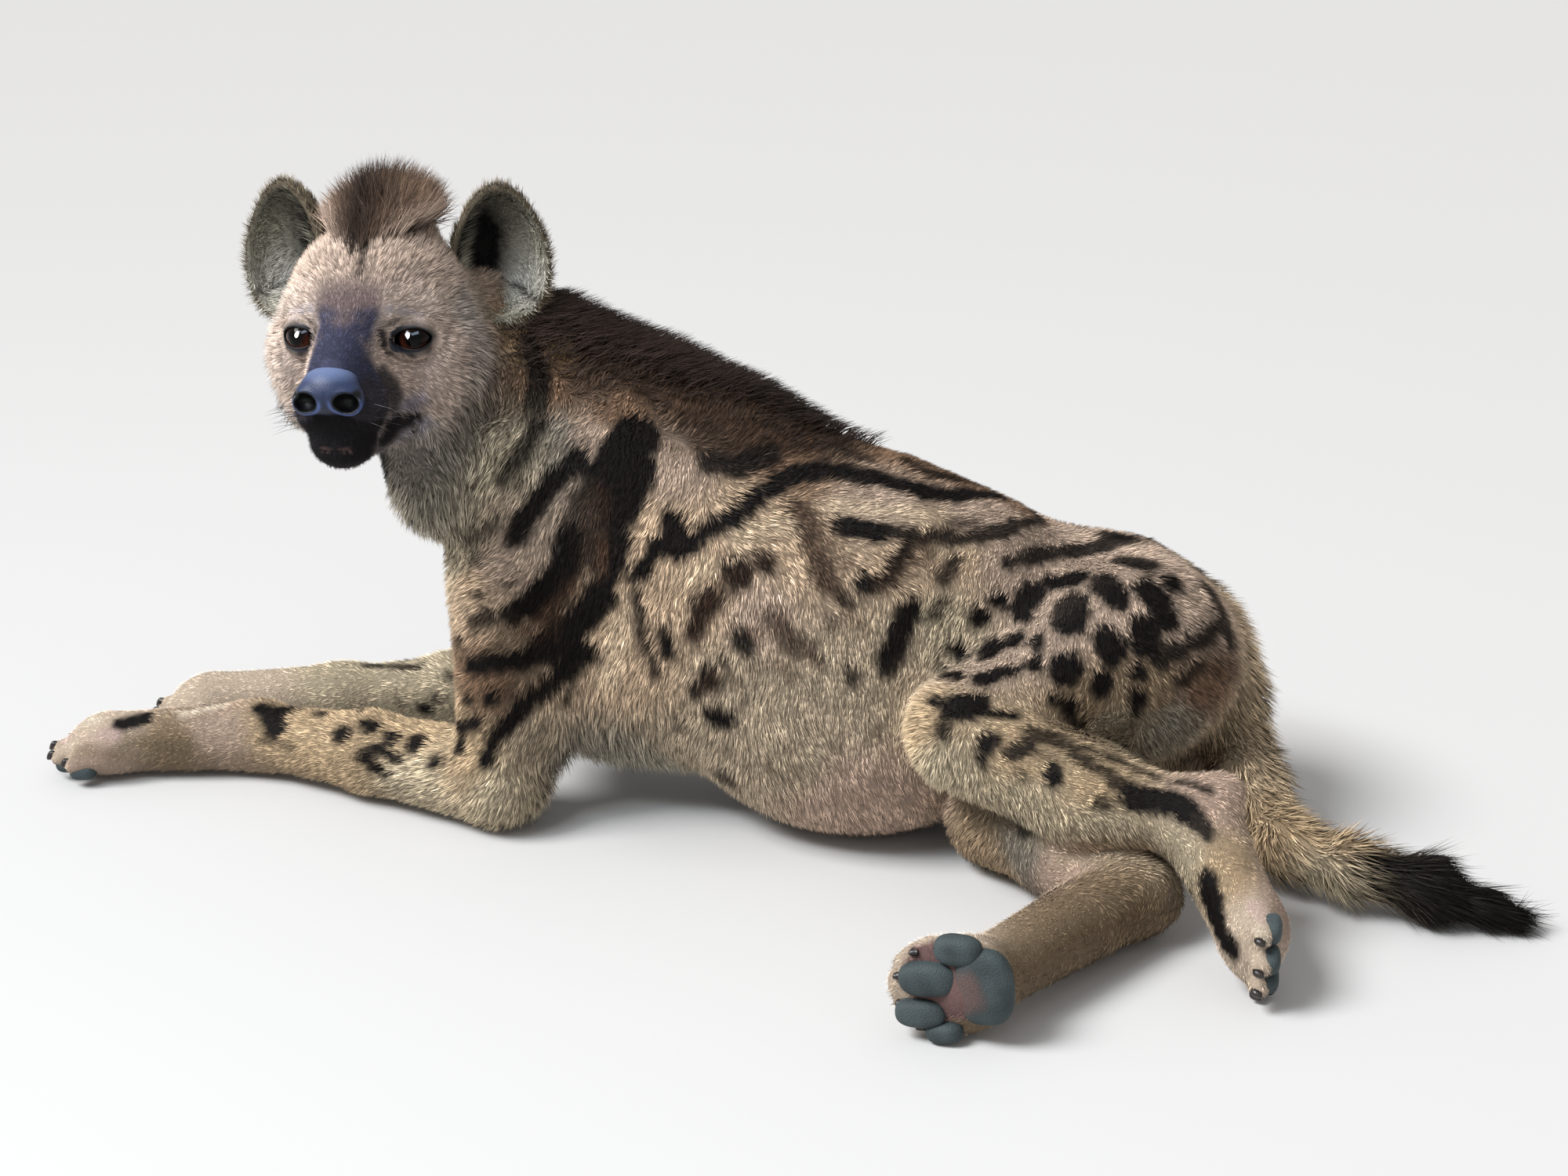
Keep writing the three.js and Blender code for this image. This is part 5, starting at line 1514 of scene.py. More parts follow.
# %% The short coat
rng = np.random.default_rng(20)
triangle, share = scatter(rng, skin_area, per_mm2)
root, lie, length, lift, colour = (
    at_roots(values, triangle, share)
    for values in (skin_verts, skin_lie, skin_length, skin_lift, skin_colour))
normal = unit(at_roots(skin_normals, triangle, share))
SLOW_SWING, SWING_SIZE, CHANCE_SWING = 0.22, 46, 0.13
swing = SLOW_SWING * np.stack([ripple(root, SWING_SIZE, seed) for seed in (31, 32, 33)], 1)
swing += rng.normal(scale=CHANCE_SWING, size=root.shape)
lie = laid_flat(lie + swing, normal)
length = length * rng.uniform(0.7, 1.25, len(root))
LONGEST_IN_EAR, LOWEST_TIP = 7, 1.2
in_cup = in_ear(root, 1) | in_ear(root, -1)
length = np.where(in_cup, np.minimum(length, LONGEST_IN_EAR), length)
lift = lift * rng.uniform(0.7, 1.8, len(root))
tip = root + length[:, None] * raised(lift, lie, normal)
root_shares = part_shares(root)
root_part = root_shares.argmax(1)
of_tail = root_shares[:, part_number("tail")] > 0.5
leaning = lean_together(root, tip)
tip = np.where(of_tail[:, None], 0.85 * tip + 0.15 * leaning, leaning)
tip[:, 2] = np.maximum(tip[:, 2], LOWEST_TIP)
patchy = 1 + 0.13 * ripple(root, 20, 41) - 0.3 * np.clip(ripple(root, 32, 43), 0, 1) * (
    root_shares[:, 0] < 0.5)
LIGHTER, TUFT_CONTRAST = 1.06, 0.38
by_chance = np.exp(rng.normal(scale=TUFT_CONTRAST, size=(len(root), 1)))
colour = LIGHTER * colour * by_chance * patchy[:, None]
FACE_WIDTH, BODY_WIDTH, THINNEST, THICKEST = 0.062, 0.1, 0.42, 1.15
width = np.where(root_shares[:, 0] > 0.5, FACE_WIDTH, BODY_WIDTH) * length
width = np.clip(width, THINNEST, THICKEST) * rng.uniform(0.75, 1.25, len(root))
print("tufts:", len(root))
AXES = dict(
    head=(on_head(0, -160, 20), on_head(0, 80, -20)),
    trunk=(JOINT["pelvis"], JOINT["neck"]),
    arm_left=(JOINT["elbow_left"], JOINT["paw_left"]),
    arm_right=(JOINT["elbow_right"], JOINT["paw_right"]),
    leg_left=(JOINT["knee_left"], JOINT["hock_left"]),
    leg_right=(JOINT["knee_right"], JOINT["hock_right"]),
    tail=(TAIL_POINTS[2], TAIL_POINTS[-1]),
)
MOST_TUFTS = 47000
for index, name in enumerate(PARTS):
    chosen = np.nonzero(root_part == index)[0]
    pieces = int(np.ceil(len(chosen) / MOST_TUFTS))
    order = np.argsort(unwrap(root[chosen], *AXES[name])[:, 0], kind="stable")
    for k, some in enumerate(np.array_split(chosen[order], pieces)):
        title = f"coat_{name}" if pieces == 1 else f"coat_{name}_{k + 1}"
        coat_piece(title, root[some], tip[some], normal[some], width[some], colour[some],
                   AXES[name])
        print(title, len(some))

# %% [markdown]
# The long hair is grown the same way, but in strands with a bend: it starts steeply and leans
# back under its own weight. There are three such places, the mane from nape to withers, the
# crest between the ears and the black brush of the tail.

# %% Growing long hair


FREE_SKIN = ~bare & ~in_ear(middle_here, 1) & ~in_ear(middle_here, -1)


def grow_long(name, seed, per_mm2, lie_at, length_at, angles, colour_at, axis, spread, thickness,
              pull, wave=0.14):
    """Strands with a bend. They leave the skin at the first angle and end at the second."""
    rng = np.random.default_rng(seed)
    triangle, share = scatter(rng, skin_area, per_mm2 * FREE_SKIN)
    root = at_roots(skin_verts, triangle, share)
    normal = unit(at_roots(skin_normals, triangle, share))
    lie = lie_at(root) + wave * np.stack([ripple(root, 50, seed + k) for k in range(3)], 1)
    lie = laid_flat(lie + rng.normal(scale=spread, size=root.shape), normal)
    length = length_at(root) * rng.uniform(0.65, 1.15, len(root))
    first = math.radians(angles[0]) * rng.uniform(0.8, 1.15, len(root))
    last = math.radians(angles[1]) * rng.uniform(0.7, 1.2, len(root))
    bend = root + 0.5 * length[:, None] * raised(first, lie, normal)
    tip = bend + 0.5 * length[:, None] * raised(last, lie, normal)
    pulled = lean_together(root, tip, pull)
    bend, tip = bend + 0.3 * (pulled - tip), pulled
    bend[:, 2], tip[:, 2] = np.maximum(bend[:, 2], 2.5), np.maximum(tip[:, 2], 1.5)
    colour = colour_at(root) * np.exp(rng.normal(scale=0.36, size=(len(root), 1)))
    width = thickness * rng.uniform(0.7, 1.3, len(root))
    coat_piece(name, root, tip, normal, width, colour, axis, bend)
    print(name, len(root), "strands, longest", round(length.max()), "mm")


def all_of(name):
    return lambda p: np.tile(COLOURS[name], (len(p), 1))


def rise(x, start, full, fade, end):
    """0 before start, 1 from full to fade, and 0 again after end, with straight ramps."""
    return np.interp(x, [start, full, fade, end], [0, 1, 1, 0])


# %% The mane
MANE_MIDDLE = 2


def mane_share(p):
    """1 along the ridge of the neck and withers, fading to the sides and to the loin."""
    return rise(p[:, 0], -262, -225, -60, 90) * np.exp(-((p[:, 1] - MANE_MIDDLE) / 40) ** 2) * (
        p[:, 2] > 330)


def mane_lie(p):
    """Back towards the loin, and outwards at the sides."""
    off = p[:, 1] - MANE_MIDDLE
    outwards = 0.35 * np.sign(off) * np.minimum(1, np.abs(off) / 30)
    return np.stack([np.full(len(p), 0.9), outwards, np.full(len(p), 0.2)], 1)


grow_long("mane", 61, 0.36 * mane_share(middle_here), mane_lie,
          lambda p: np.interp(p[:, 0], [-320, -230, -100, 60], [30, 34, 32, 24]), (58, 40),
          all_of("mane"), AXES["trunk"], spread=0.2, thickness=1.0, pull=0.2)


# %% The crest
CREST_MIDDLE = -2


def crest_edge(side):
    """The height of the crest's edge on the forehead, without its point in the middle."""
    return 60 + 0.62 * np.abs(side - CREST_MIDDLE)


def crest_share(p):
    side, forward, up = head_place(p).T
    point = np.exp(-((side - CREST_MIDDLE) / 13) ** 2)
    length_wise = rise(forward - 30 * point, -175, -150, -60, -36)
    return length_wise * np.exp(-(side / 46) ** 4) * (up > crest_edge(side) - 26 * point)


def crest_length(p):
    side, forward, _ = head_place(p).T
    return (46 - 0.2 * np.abs(side)) * np.clip(-forward / 70, 0.3, 1)


def crest_lie(p):
    side, forward, _ = head_place(p).T
    toward = np.stack([side / 50, -0.5 - 0.3 * (forward < -120), np.full(len(p), 0.8)], 1)
    return toward * vec(1, -1, 1) @ HEAD_AXES.T


def crest_colour(p):
    """Dark in the middle, lighter at the sides, near the face's colour at the lower edge."""
    side, _, up = head_place(p).T
    off = np.where(side > -6, side + 6, -6 - side) / np.where(side > -6, 46, 40)
    t = np.clip(off, 0, 1)[:, None] ** 1.3
    whole = COLOURS["crest"] * (1 - t) + COLOURS["crest_side"] * t
    low = np.clip(1 - (up - crest_edge(side)) / 13, 0, 1) * np.clip(
        np.abs(side - CREST_MIDDLE) / 16, 0, 1)
    return whole + (COLOURS["face"] - whole) * 0.6 * low[:, None]


grow_long("crest", 62, 0.95 * crest_share(middle_here), crest_lie, crest_length, (60, 46),
          crest_colour, AXES["head"], spread=0.24, thickness=0.72, pull=0.1)

# %% The brush of the tail
TAIL_AXIS = unit(TAIL_POINTS[-1] - TAIL_POINTS[4])


def tail_reach(p):
    return (p - TAIL_POINTS[4]) @ TAIL_AXIS


def on_tail(p):
    return (read_field(tail_flesh, p) < 3) & (p[:, 0] > 440)


brush_share = on_tail(middle_here) * rise(tail_reach(middle_here), 10, 40, 400, 500)
grow_long("tail_brush", 63, 0.5 * brush_share, lambda p: np.tile(TAIL_AXIS, (len(p), 1)),
          lambda p: np.interp(tail_reach(p), [0, 60, 130], [40, 44, 34]), (15, 4),
          all_of("brush"), AXES["tail"], spread=0.05, thickness=0.9, pull=0.02, wave=0.03)

# %% [markdown]
# A hyena's ear is a broad round cup. Its surface is one closed sheet: from the depth of the
# cup out to the rim and back over the outer side. The lower lobe is raised behind a fold. Hair
# grows on both sides towards the rim, pale on the lobe. Painted shade darkens skin and hair in the
# depth of the cup round the canal and in a line along the fold.

# %% The surface of the ears
EAR_STEPS, EAR_ROUND = 22, 72
FOLD_START, FOLD_END, FOLD_NORMAL = vec(-4, -20), vec(34, -40), vec(0.466, 0.885)
FOLD = FOLD_END - FOLD_START
SHADE_UNDER_EAR_HAIR = 0.45
EAR_SKIN = hairy("ear_skin", 0.7, 300, 0.3)


def beside_fold(w, h):
    """How far above the fold a flat place of the ear lies."""
    return (h - FOLD_START[1]) * FOLD_NORMAL[1] + (w - FOLD_START[0]) * FOLD_NORMAL[0]


def ear_surface(s):
    """Points, triangles, normals and flat places of the ear.

    Outside, depth = 46 sqrt(1 - r^2), and inside 39 sqrt(1 - r^2) on a rim drawn in by the
    wall, where r runs from 0 in the middle to 1 at the rim."""
    side, up, opening = ear_axes(s)
    turn_round = np.linspace(0, 2 * np.pi, EAR_ROUND, endpoint=False)
    bow = np.sin(np.linspace(0.03, np.pi / 2, EAR_STEPS))
    rows = [(r, EAR_WALL, 39, 20) for r in bow] + [(1, 0.93, -2.5, 0), (1, 1, 0, 0)] + [
        (r, 1, 46, 24) for r in bow[::-1][1:]]
    points, flat = [], []
    for r, wall, deep, drop in rows:
        w = EAR_HALF[0] * (0.93 - 0.19 * np.sin(turn_round)) * np.cos(turn_round) * r * wall
        h = EAR_HALF[1] * np.sin(turn_round) * r * wall
        depth = deep * np.sqrt(max(0, 1 - r * r)) if deep > 0 else deep
        w, h = w - s * drop * (1 - r) / 2, h - drop * (1 - r)
        across = s * w
        along = np.clip(((across - FOLD_START[0]) * FOLD[0] + (h - FOLD_START[1]) * FOLD[1]) /
                        (FOLD @ FOLD), -0.2, 1.2)
        lobe = 7 / (1 + np.exp(beside_fold(across, h) / 1.6)) * np.exp(-((along - 0.5) / 0.75) ** 4)
        if wall == EAR_WALL:
            depth = depth - lobe * (1 - r ** 8)
        points.append(EAR_MIDDLE[s] + w[:, None] * side + h[:, None] * up -
                      np.broadcast_to(depth, w.shape)[:, None] * opening)
        flat.append(np.stack([across, h, np.full(len(w), float(wall == EAR_WALL))], 1))
    verts = np.concatenate(points)
    n = EAR_ROUND
    i = np.arange(n)
    poles = np.stack([verts[:n].mean(0), verts[-n:].mean(0)])
    first, last = len(verts), len(verts) + 1
    caps = np.concatenate([np.stack([np.full(n, first), (i + 1) % n, i], 1),
                           np.stack([np.full(n, last), len(verts) - n + i,
                                     len(verts) - n + (i + 1) % n], 1)])
    verts = np.concatenate([verts, poles])
    flat = np.concatenate(flat + [[[0, -14, 1], [0, -18, 0]]])
    triangles = np.concatenate([triangles_of(grid_quads(len(rows), n)), caps])
    a, b, c = verts[triangles].transpose(1, 0, 2)
    face = np.cross(b - a, c - a)
    if (face[:n] @ opening).sum() < 0:
        triangles, face = triangles[:, ::-1], -face
    normals = np.zeros_like(verts)
    for k in range(3):
        np.add.at(normals, triangles[:, k], face)
    return verts, triangles, unit(normals), flat, np.linalg.norm(face, axis=1) / 2


# %% Colour and hair of the ears


def ear_colour(flat):
    """Painted shade round the canal and along the fold, pale on the lobe, olive grey to the rim, brown grey
    behind.
    """
    w, h, inside = flat.T
    # painted shade: the depth of the cup round the canal, and a line along the raised fold where its edge
    # casts a shadow, are darkened towards black
    canal = np.exp(-(((w + 15) / 27) ** 2 + ((h - 9) / 44) ** 2) ** 1.15)
    lobe = np.exp(-(((w - 20) / 22) ** 2 + ((h + 22) / 26) ** 2))
    fold = np.exp(-((beside_fold(w, h) - 2) / 3.2) ** 2) * ((w > -8) & (w < 36))
    top = np.clip((h - 20) / 50, 0, 1)
    base = COLOURS["ear"] * (1 - 0.55 * top)[:, None]
    colour = base + (COLOURS["ear_lobe"] - base) * lobe[:, None]
    dark = np.clip(np.maximum(canal * 1.4, 0.9 * fold), 0, 1) * inside
    colour = colour + (COLOURS["ear_cup_shade"] - colour) * dark[:, None]
    return np.where(inside[:, None] > 0.5, colour, COLOURS["ear_back"])


def make_ear(s, name):
    verts, triangles, normals, flat, area = ear_surface(s)
    ear = mesh_piece("ear_shell_" + name, verts, triangles, EAR_SKIN)
    store_colour(ear.data, ear_colour(flat) * SHADE_UNDER_EAR_HAIR)
    ride(ear, "ear_coat", "ear_" + name)
    rng = np.random.default_rng(71 + s)
    inside = flat[triangles, 2].mean(1)
    triangle, share = scatter(rng, area, np.where(inside > 0.5, 0.42, 0.26))
    root = at_roots(verts, triangle, share, triangles)
    normal = unit(at_roots(normals, triangle, share, triangles))
    place = at_roots(flat, triangle, share, triangles)
    side, up, opening = ear_axes(s)
    w, h = place[:, :1], place[:, 1:2]
    in_cup = place[:, 2:] > 0.5
    out = s * (w + np.where(in_cup, 10, 0)) * side + (h + np.where(in_cup, -6, 30)) * up
    sweep = np.clip((-w - 20) / 12, 0, 1) * in_cup
    lie = unit(out) * (1 - sweep) + sweep * (s * side + 0.7 * up)
    lie = laid_flat(lie + rng.normal(scale=0.26, size=root.shape), normal)
    radius = np.hypot(place[:, 0] / EAR_HALF[0], place[:, 1] / EAR_HALF[1])
    in_cup, sweep = in_cup[:, 0], sweep[:, 0]
    length = np.where(in_cup, 9 + 5 * radius ** 3, 9.5 + 3 * radius ** 3)
    length = (length + 8 * sweep) * rng.uniform(0.7, 1.25, len(root))
    lift = np.radians(np.where(in_cup, 30 + 16 * sweep, 22)) * rng.uniform(0.6, 1.3, len(root))
    tip = root + length[:, None] * raised(lift, lie, normal)
    tip = lean_together(root, tip)
    colour = ear_colour(place) * np.exp(rng.normal(scale=0.26, size=(len(root), 1)))
    axis = (EAR_MIDDLE[s] - 40 * opening, EAR_MIDDLE[s])
    width = rng.uniform(0.6, 1.0, len(root))
    coat_piece("coat_ear_" + name, root, tip, normal, width, colour, axis)
    print("ear", name, len(root), "tufts")


SIDE_NAMES = {1: "left", -1: "right"}
for s, name in SIDE_NAMES.items():
    make_ear(s, name)

# %% [markdown]
# The bare parts of the face. An eye is a ball with the cornea's slight bulge, dark all over,
# with a rim of red brown under the pupil.

# %% Eyeballs
PUPIL, IRIS, CORNEA = 5.4, 12.4, 1.1
EYE = surface("eye", 0.04, 0.12, 900, 0.0)
EYE_ROWS, EYE_COLUMNS = 44, 72


def make_eye(s, name):
    """Rings round the gaze: an angle t from it, with the cornea's bulge over the iris."""
    side, up, forward = eye_axes(s)
    t = np.pi * np.linspace(0, 1, EYE_ROWS + 2)[1:-1] ** 1.5
    turn_round = np.linspace(0, 2 * np.pi, EYE_COLUMNS, endpoint=False)
    radius = EYEBALL + CORNEA * np.maximum(0, 1 - (t / 0.72) ** 2) ** 2
    out = np.sin(t)[:, None, None] * (np.cos(turn_round)[:, None] * side +
                                      np.sin(turn_round)[:, None] * up)
    verts = (EYE_MIDDLES[s] + radius[:, None, None] * (
        np.cos(t)[:, None, None] * forward + out)).reshape(-1, 3)
    poles = EYE_MIDDLES[s] + np.stack([(EYEBALL + CORNEA) * forward, -EYEBALL * forward])
    verts = np.concatenate([verts, poles])
    triangles = outward(verts, closed_rings(EYE_ROWS, EYE_COLUMNS))
    local_place = (verts - EYE_MIDDLES[s]) @ np.stack([side, up, forward], 1)
    off = np.hypot(local_place[:, 0], local_place[:, 1]) + 40 * (local_place[:, 2] < 0)
    angle = np.arctan2(local_place[:, 1], local_place[:, 0])
    lower = np.clip(0.55 - 0.9 * np.sin(angle), 0.12, 1.3)
    ring = np.clip((off - PUPIL) / 2.5, 0, 1) * np.clip((IRIS - off) / 1.2, 0, 1)
    threads = 0.8 + 0.25 * np.sin(angle * 23 + 2 * np.sin(angle * 5)) * np.sin(off * 1.7 + 1)
    red = 0.07 * linear(84, 40, 24) * (ring * lower * threads)[:, None]
    colour = 0.04 * linear(9, 8, 9) + red * np.clip((off - 6) / 5, 0.1, 1)[:, None]
    eye = mesh_piece("eyeball_" + name, verts, triangles, EYE)
    store_colour(eye.data, colour)
    return ride(eye, "eye", "eye_" + name)


# %% [markdown]
# The lids are one closed ring: its inner edge is an almond on the ball, its outer edge sinks
# into the face, and between them it follows whichever stands further out, ball or face. Short
# hair grows on its outer part.

# %% Lids
LID = surface("eyelid", 0.5, 0.25, 1400, 0.7)
LID_ROUND, LID_ACROSS = 96, 16
LID_INNER, LID_OUTER = (15.6, 9.4, 8.2), (25, 20)
DARK_ROUND = (-4.0, 22.0, 12.6)


def on_lid_axes(s, u, v):
    side, up, _ = eye_axes(s)
    return EYE_MIDDLES[s] + u[..., None] * side + v[..., None] * up


def lid_ring(u, v):
    """1 along an oval just outside the lids' edges, and more outside it."""
    return np.hypot(u / 16.5, v / 9.6)


def lid_dark(u, v):
    """1 in the bare dark skin round the eye, 0 where the hair begins."""
    q = np.hypot((u - DARK_ROUND[0]) / DARK_ROUND[1], v / DARK_ROUND[2])
    return np.clip((1.08 - q) / 0.16, 0, 1)


def lid_colour(u, v, fur):
    """Black at the rim, a blue grey crescent on the lower lid, a painted sheen along the upper lid's crease,
    and the face's colour outside.
    """
    ring = lid_ring(u, v)
    dark = np.tile(linear(18, 16, 19), (len(u), 1))
    crescent = np.exp(-((ring - 1.28) / 0.16) ** 2) * np.clip(-v / 5, 0, 1)
    # painted sheen: a thin pale blue grey line along the upper lid, where its crease catches the light
    fold = np.exp(-((ring - 1.32) / 0.1) ** 2) * np.clip(v / 6, 0, 1)
    dark = dark + (linear(70, 76, 94) - dark) * (0.55 * crescent + 0.3 * fold)[:, None]
    return dark + (fur - dark) * (1 - lid_dark(u, v))[:, None]


def make_lids(s, name):
    a = np.linspace(0, 2 * np.pi, LID_ROUND, endpoint=False)
    inner_u = LID_INNER[0] * np.cos(a) * np.where(np.cos(a) < 0, 1.12, 1.0)
    inner_v = np.where(np.sin(a) > 0, LID_INNER[1], LID_INNER[2]) * np.sin(a) * (
        1 - 0.24 * np.abs(np.cos(a)) ** 3)
    outer_u = LID_OUTER[0] * np.cos(a) * np.where(np.cos(a) < 0, 0.86, 1.0)
    outer_v = LID_OUTER[1] * np.sin(a)
    t = np.linspace(0, 1, LID_ACROSS) ** 1.3
    u = inner_u + t[:, None] * (outer_u - inner_u)
    v = inner_v + t[:, None] * (outer_v - inner_v)
    side, up, forward = eye_axes(s)
    start = on_lid_axes(s, u, v) + 70 * forward
    face_depth = np.maximum(*((cast(field, start, -forward) - EYE_MIDDLES[s]) @ forward
                              for field in (bare_head, skin_field)))
    lid_height = 2.0 - 1.3 * np.exp(-(t[:, None] / 0.05) ** 2)
    ball_depth = np.sqrt(np.maximum((EYEBALL + lid_height) ** 2 - (u * u + v * v), 1))
    ring = lid_ring(u, v)
    crease = 1.1 * np.exp(-((ring - 1.45) / 0.09) ** 2) * np.clip(v / 5, 0, 1)
    crease += 0.6 * np.exp(-((ring - 1.6) / 0.1) ** 2) * np.clip(-v / 5, 0, 1)
    depth = -smooth_min(-ball_depth, -(face_depth + 0.9), 5) - crease
    depth -= 3.0 * np.clip((t[:, None] - 0.88) / 0.12, 0, 1) ** 2
    top = on_lid_axes(s, u, v) + depth[..., None] * forward
    ball_edge = np.sqrt(np.maximum(EYEBALL ** 2 - inner_u ** 2 - inner_v ** 2, 1))
    tucked = on_lid_axes(s, inner_u * 1.04, inner_v * 1.04) + (ball_edge - 1.6)[:, None] * forward
    under = on_lid_axes(s, outer_u, outer_v) + (depth[-1] - 4)[:, None] * forward
    verts = np.concatenate([top, under[None], tucked[None]]).reshape(-1, 3)
    rows = LID_ACROSS + 2
    triangles = outward(verts, triangles_of(grid_quads(rows, LID_ROUND, True)))
    flat_u = np.concatenate([u.ravel(), outer_u, inner_u])
    flat_v = np.concatenate([v.ravel(), outer_v, inner_v])
    fur, lie, _, _ = read_map(verts + 2 * forward)
    lids = mesh_piece("lids_" + name, verts, triangles, LID)
    # painted shade: outside the bare rim, the lids under their short hair take half the coat's colour,
    # darkened as the skin is under the coat
    store_colour(lids.data, lid_colour(flat_u, flat_v, fur * 0.5))
    ride(lids, "coat")
    rng = np.random.default_rng(81 + s)
    b, c, d = verts[triangles].transpose(1, 0, 2)
    face_normal = np.cross(c - b, d - b)
    area = np.linalg.norm(face_normal, axis=1) / 2
    shown = ((face_normal @ forward) > 0) * (lid_dark(flat_u, flat_v)[triangles].mean(1) < 0.75)
    triangle, share = scatter(rng, area, 1.5 * shown)
    root = at_roots(verts, triangle, share, triangles)
    normal = unit(face_normal[triangle])
    place_u, place_v = (at_roots(x, triangle, share, triangles) for x in (flat_u, flat_v))
    away = unit(place_u[:, None] * 0.8 * side + place_v[:, None] * up - 6 * side) * 0.6 + (
        at_roots(lie, triangle, share, triangles)) * 0.7
    away = laid_flat(away + rng.normal(scale=0.16, size=root.shape), normal)
    size = rng.uniform(3.2, 5.6, len(root))
    angle = np.radians(rng.uniform(12, 30, len(root)))
    tip = root + size[:, None] * raised(angle, away, normal)
    colour = at_roots(fur, triangle, share, triangles)
    colour = colour * (1 - 0.75 * lid_dark(place_u, place_v)[:, None])
    colour = colour * rng.uniform(0.8, 1.2, (len(root), 1))
    width = rng.uniform(0.5, 0.8, len(root))
    coat_piece("coat_lids_" + name, root, tip, normal, width, colour, AXES["head"])
    print("lids", name, len(root), "hairs")


for s, name in SIDE_NAMES.items():
    make_eye(s, name)
    make_lids(s, name)

# %% [markdown]
# The nose is a small field of its own: a pad with two wings, and the nostrils, their slits and
# the groove cut away. Its leather is pebbled and dark blue, with light and shade painted on it: a
# painted highlight on top and on the nostrils' lower rims, painted shade below and inside the nostrils.

# %% The nose
NOSE_NET = 1.3
nose_solid = flesh(
    7,
    blob(local(-1, 80, -35), (26, 19, 18)),
    blob(local(-1, 74, -25), (23, 19, 13)),
    *(blob(local(s * 19 - 1, 84, -40), (12, 15, 12.5)) for s in SIDES),
)
NOSE_CUTS = [field for s in SIDES for field in (
    blob(local(s * 18.5 - 1, 102, -40.5), (11.5, 19, 9.5)),
    limb(local(s * 26 - 1, 97, -37), 4.6, local(s * 32 - 1, 84, -28), 1.8),
)] + [limb(local(0, 101, -22), 0.6, local(0, 100, -44), 1.8),
      limb(local(0, 101, -44), 1.8, local(0, 94, -62), 2.0)]


def nose_local(p):
    whole = nose_solid(p)
    for tool in NOSE_CUTS:
        whole = carve(whole, tool(p), 2.6)
    return whole


nose_field = in_head(nose_local)
nose_middle = on_head(0, 80, -36)
nose_verts, nose_quads = surface_net(nose_field, nose_middle - 48, nose_middle + 48, NOSE_NET)
nose_verts = settle(nose_field, nose_verts)
nose_triangles = triangles_of(nose_quads)
_, _, up = head_place(nose_verts).T
hollow = np.min([tool(to_head(nose_verts)) for tool in NOSE_CUTS[:4]], axis=0)
# painted light and shade over the leather's own dark blue: lighter towards the top, where the light falls,
# and near black below, in shade
height = np.clip((up + 58) / 40, 0, 1)[:, None]
NOSE_IN_SHADE, NOSE_IN_LIGHT = linear(12, 13, 20), linear(46, 58, 92)
# painted highlights: a pale blue reflection of the light on top of the nose, and a bright one along the
# nostrils' lower rims
NOSE_TOP_HIGHLIGHT, NOSE_RIM_HIGHLIGHT = linear(128, 146, 186), linear(84, 104, 160)
nose_colour_with_light = NOSE_IN_SHADE * (1 - height) + NOSE_IN_LIGHT * height
nose_colour_with_light += (NOSE_TOP_HIGHLIGHT - nose_colour_with_light) * (0.6 * np.clip((up + 24) / 12, 0, 1))[:, None]
rim = np.exp(-((hollow - 2.6) / 1.6) ** 2) * np.clip((-36 - up) / 6, 0, 1)
nose_colour_with_light += (NOSE_RIM_HIGHLIGHT - nose_colour_with_light) * (0.85 * rim)[:, None]
# painted shade: the insides of the nostrils are darkened nearly to black
nose_colour_with_light *= np.clip((hollow - 0.3) / 2.0, 0.02, 1)[:, None]
NOSE = surface("nose_leather", 0.42, 0.32, 1000, 0.3, 0.85, 1.08, cells=True)
nose = mesh_piece("nose_leather", nose_verts, nose_triangles, NOSE)
store_colour(nose.data, nose_colour_with_light)
ride(nose, "nose", "nose")
print("nose triangles:", len(nose_triangles))

# %% [markdown]
# Whiskers stand in a few rows beside the nose, three to a place, and sag a little.

# %% Whiskers
WHISKER_ROWS = ((46, 68, -50), (50, 60, -54), (40, 74, -58), (48, 62, -62), (42, 70, -66),
                (52, 52, -60))
rng = np.random.default_rng(90)
whisker_side = np.repeat(SIDES, 3 * len(WHISKER_ROWS))[:, None]
whisker_at = np.tile(np.repeat(WHISKER_ROWS, 3, axis=0), (2, 1)) + rng.normal(scale=3, size=(
    len(whisker_side), 3))
side_forward_up = rng.uniform((0.8, -0.1, -0.35), (1.2, 0.5, 0.25), whisker_at.shape)
flip_side = vec(1, -1, 1) * np.column_stack([whisker_side, np.ones((len(whisker_side), 2))])
whisker_out = unit((side_forward_up * flip_side) @ HEAD_AXES.T)
whisker_start = from_head(whisker_at * flip_side)
whisker_root = cast(skin_field, whisker_start + 60 * whisker_out, -whisker_out)
whisker_long = rng.uniform(16, 34, (len(whisker_root), 1))
sag = head_dir(0, -0.6, -1)
whisker_bend = whisker_root + (0.5 * whisker_out + 0.02 * sag) * whisker_long
whisker_tip = whisker_root + (whisker_out * 0.93 + 0.15 * sag) * whisker_long
whisker_light = (rng.random(len(whisker_root)) < 0.45)[:, None]
whisker_colour = np.where(whisker_light, linear(150, 146, 150), linear(34, 31, 33))
whisker_normal = unit(slope(skin_field, whisker_root))
coat_piece("whiskers", whisker_root, whisker_tip, whisker_normal,
           np.full(len(whisker_root), 0.5), whisker_colour, AXES["head"], whisker_bend)
print("whiskers:", len(whisker_root))

# %% [markdown]
# A pad is a rounded box of pebbled leather, set in the sole. The sole of the right hind foot
# faces the viewer, so its pads are placed by the picture.

# %% Pads
PAD_COLOUR, PAD_PINK = linear(62, 72, 74), linear(96, 76, 72)
PAD = surface("pad_leather", 0.65, 0.3, 700, 0.7, 0.82, 1.1, cells=True)
PAD_STEPS = 28


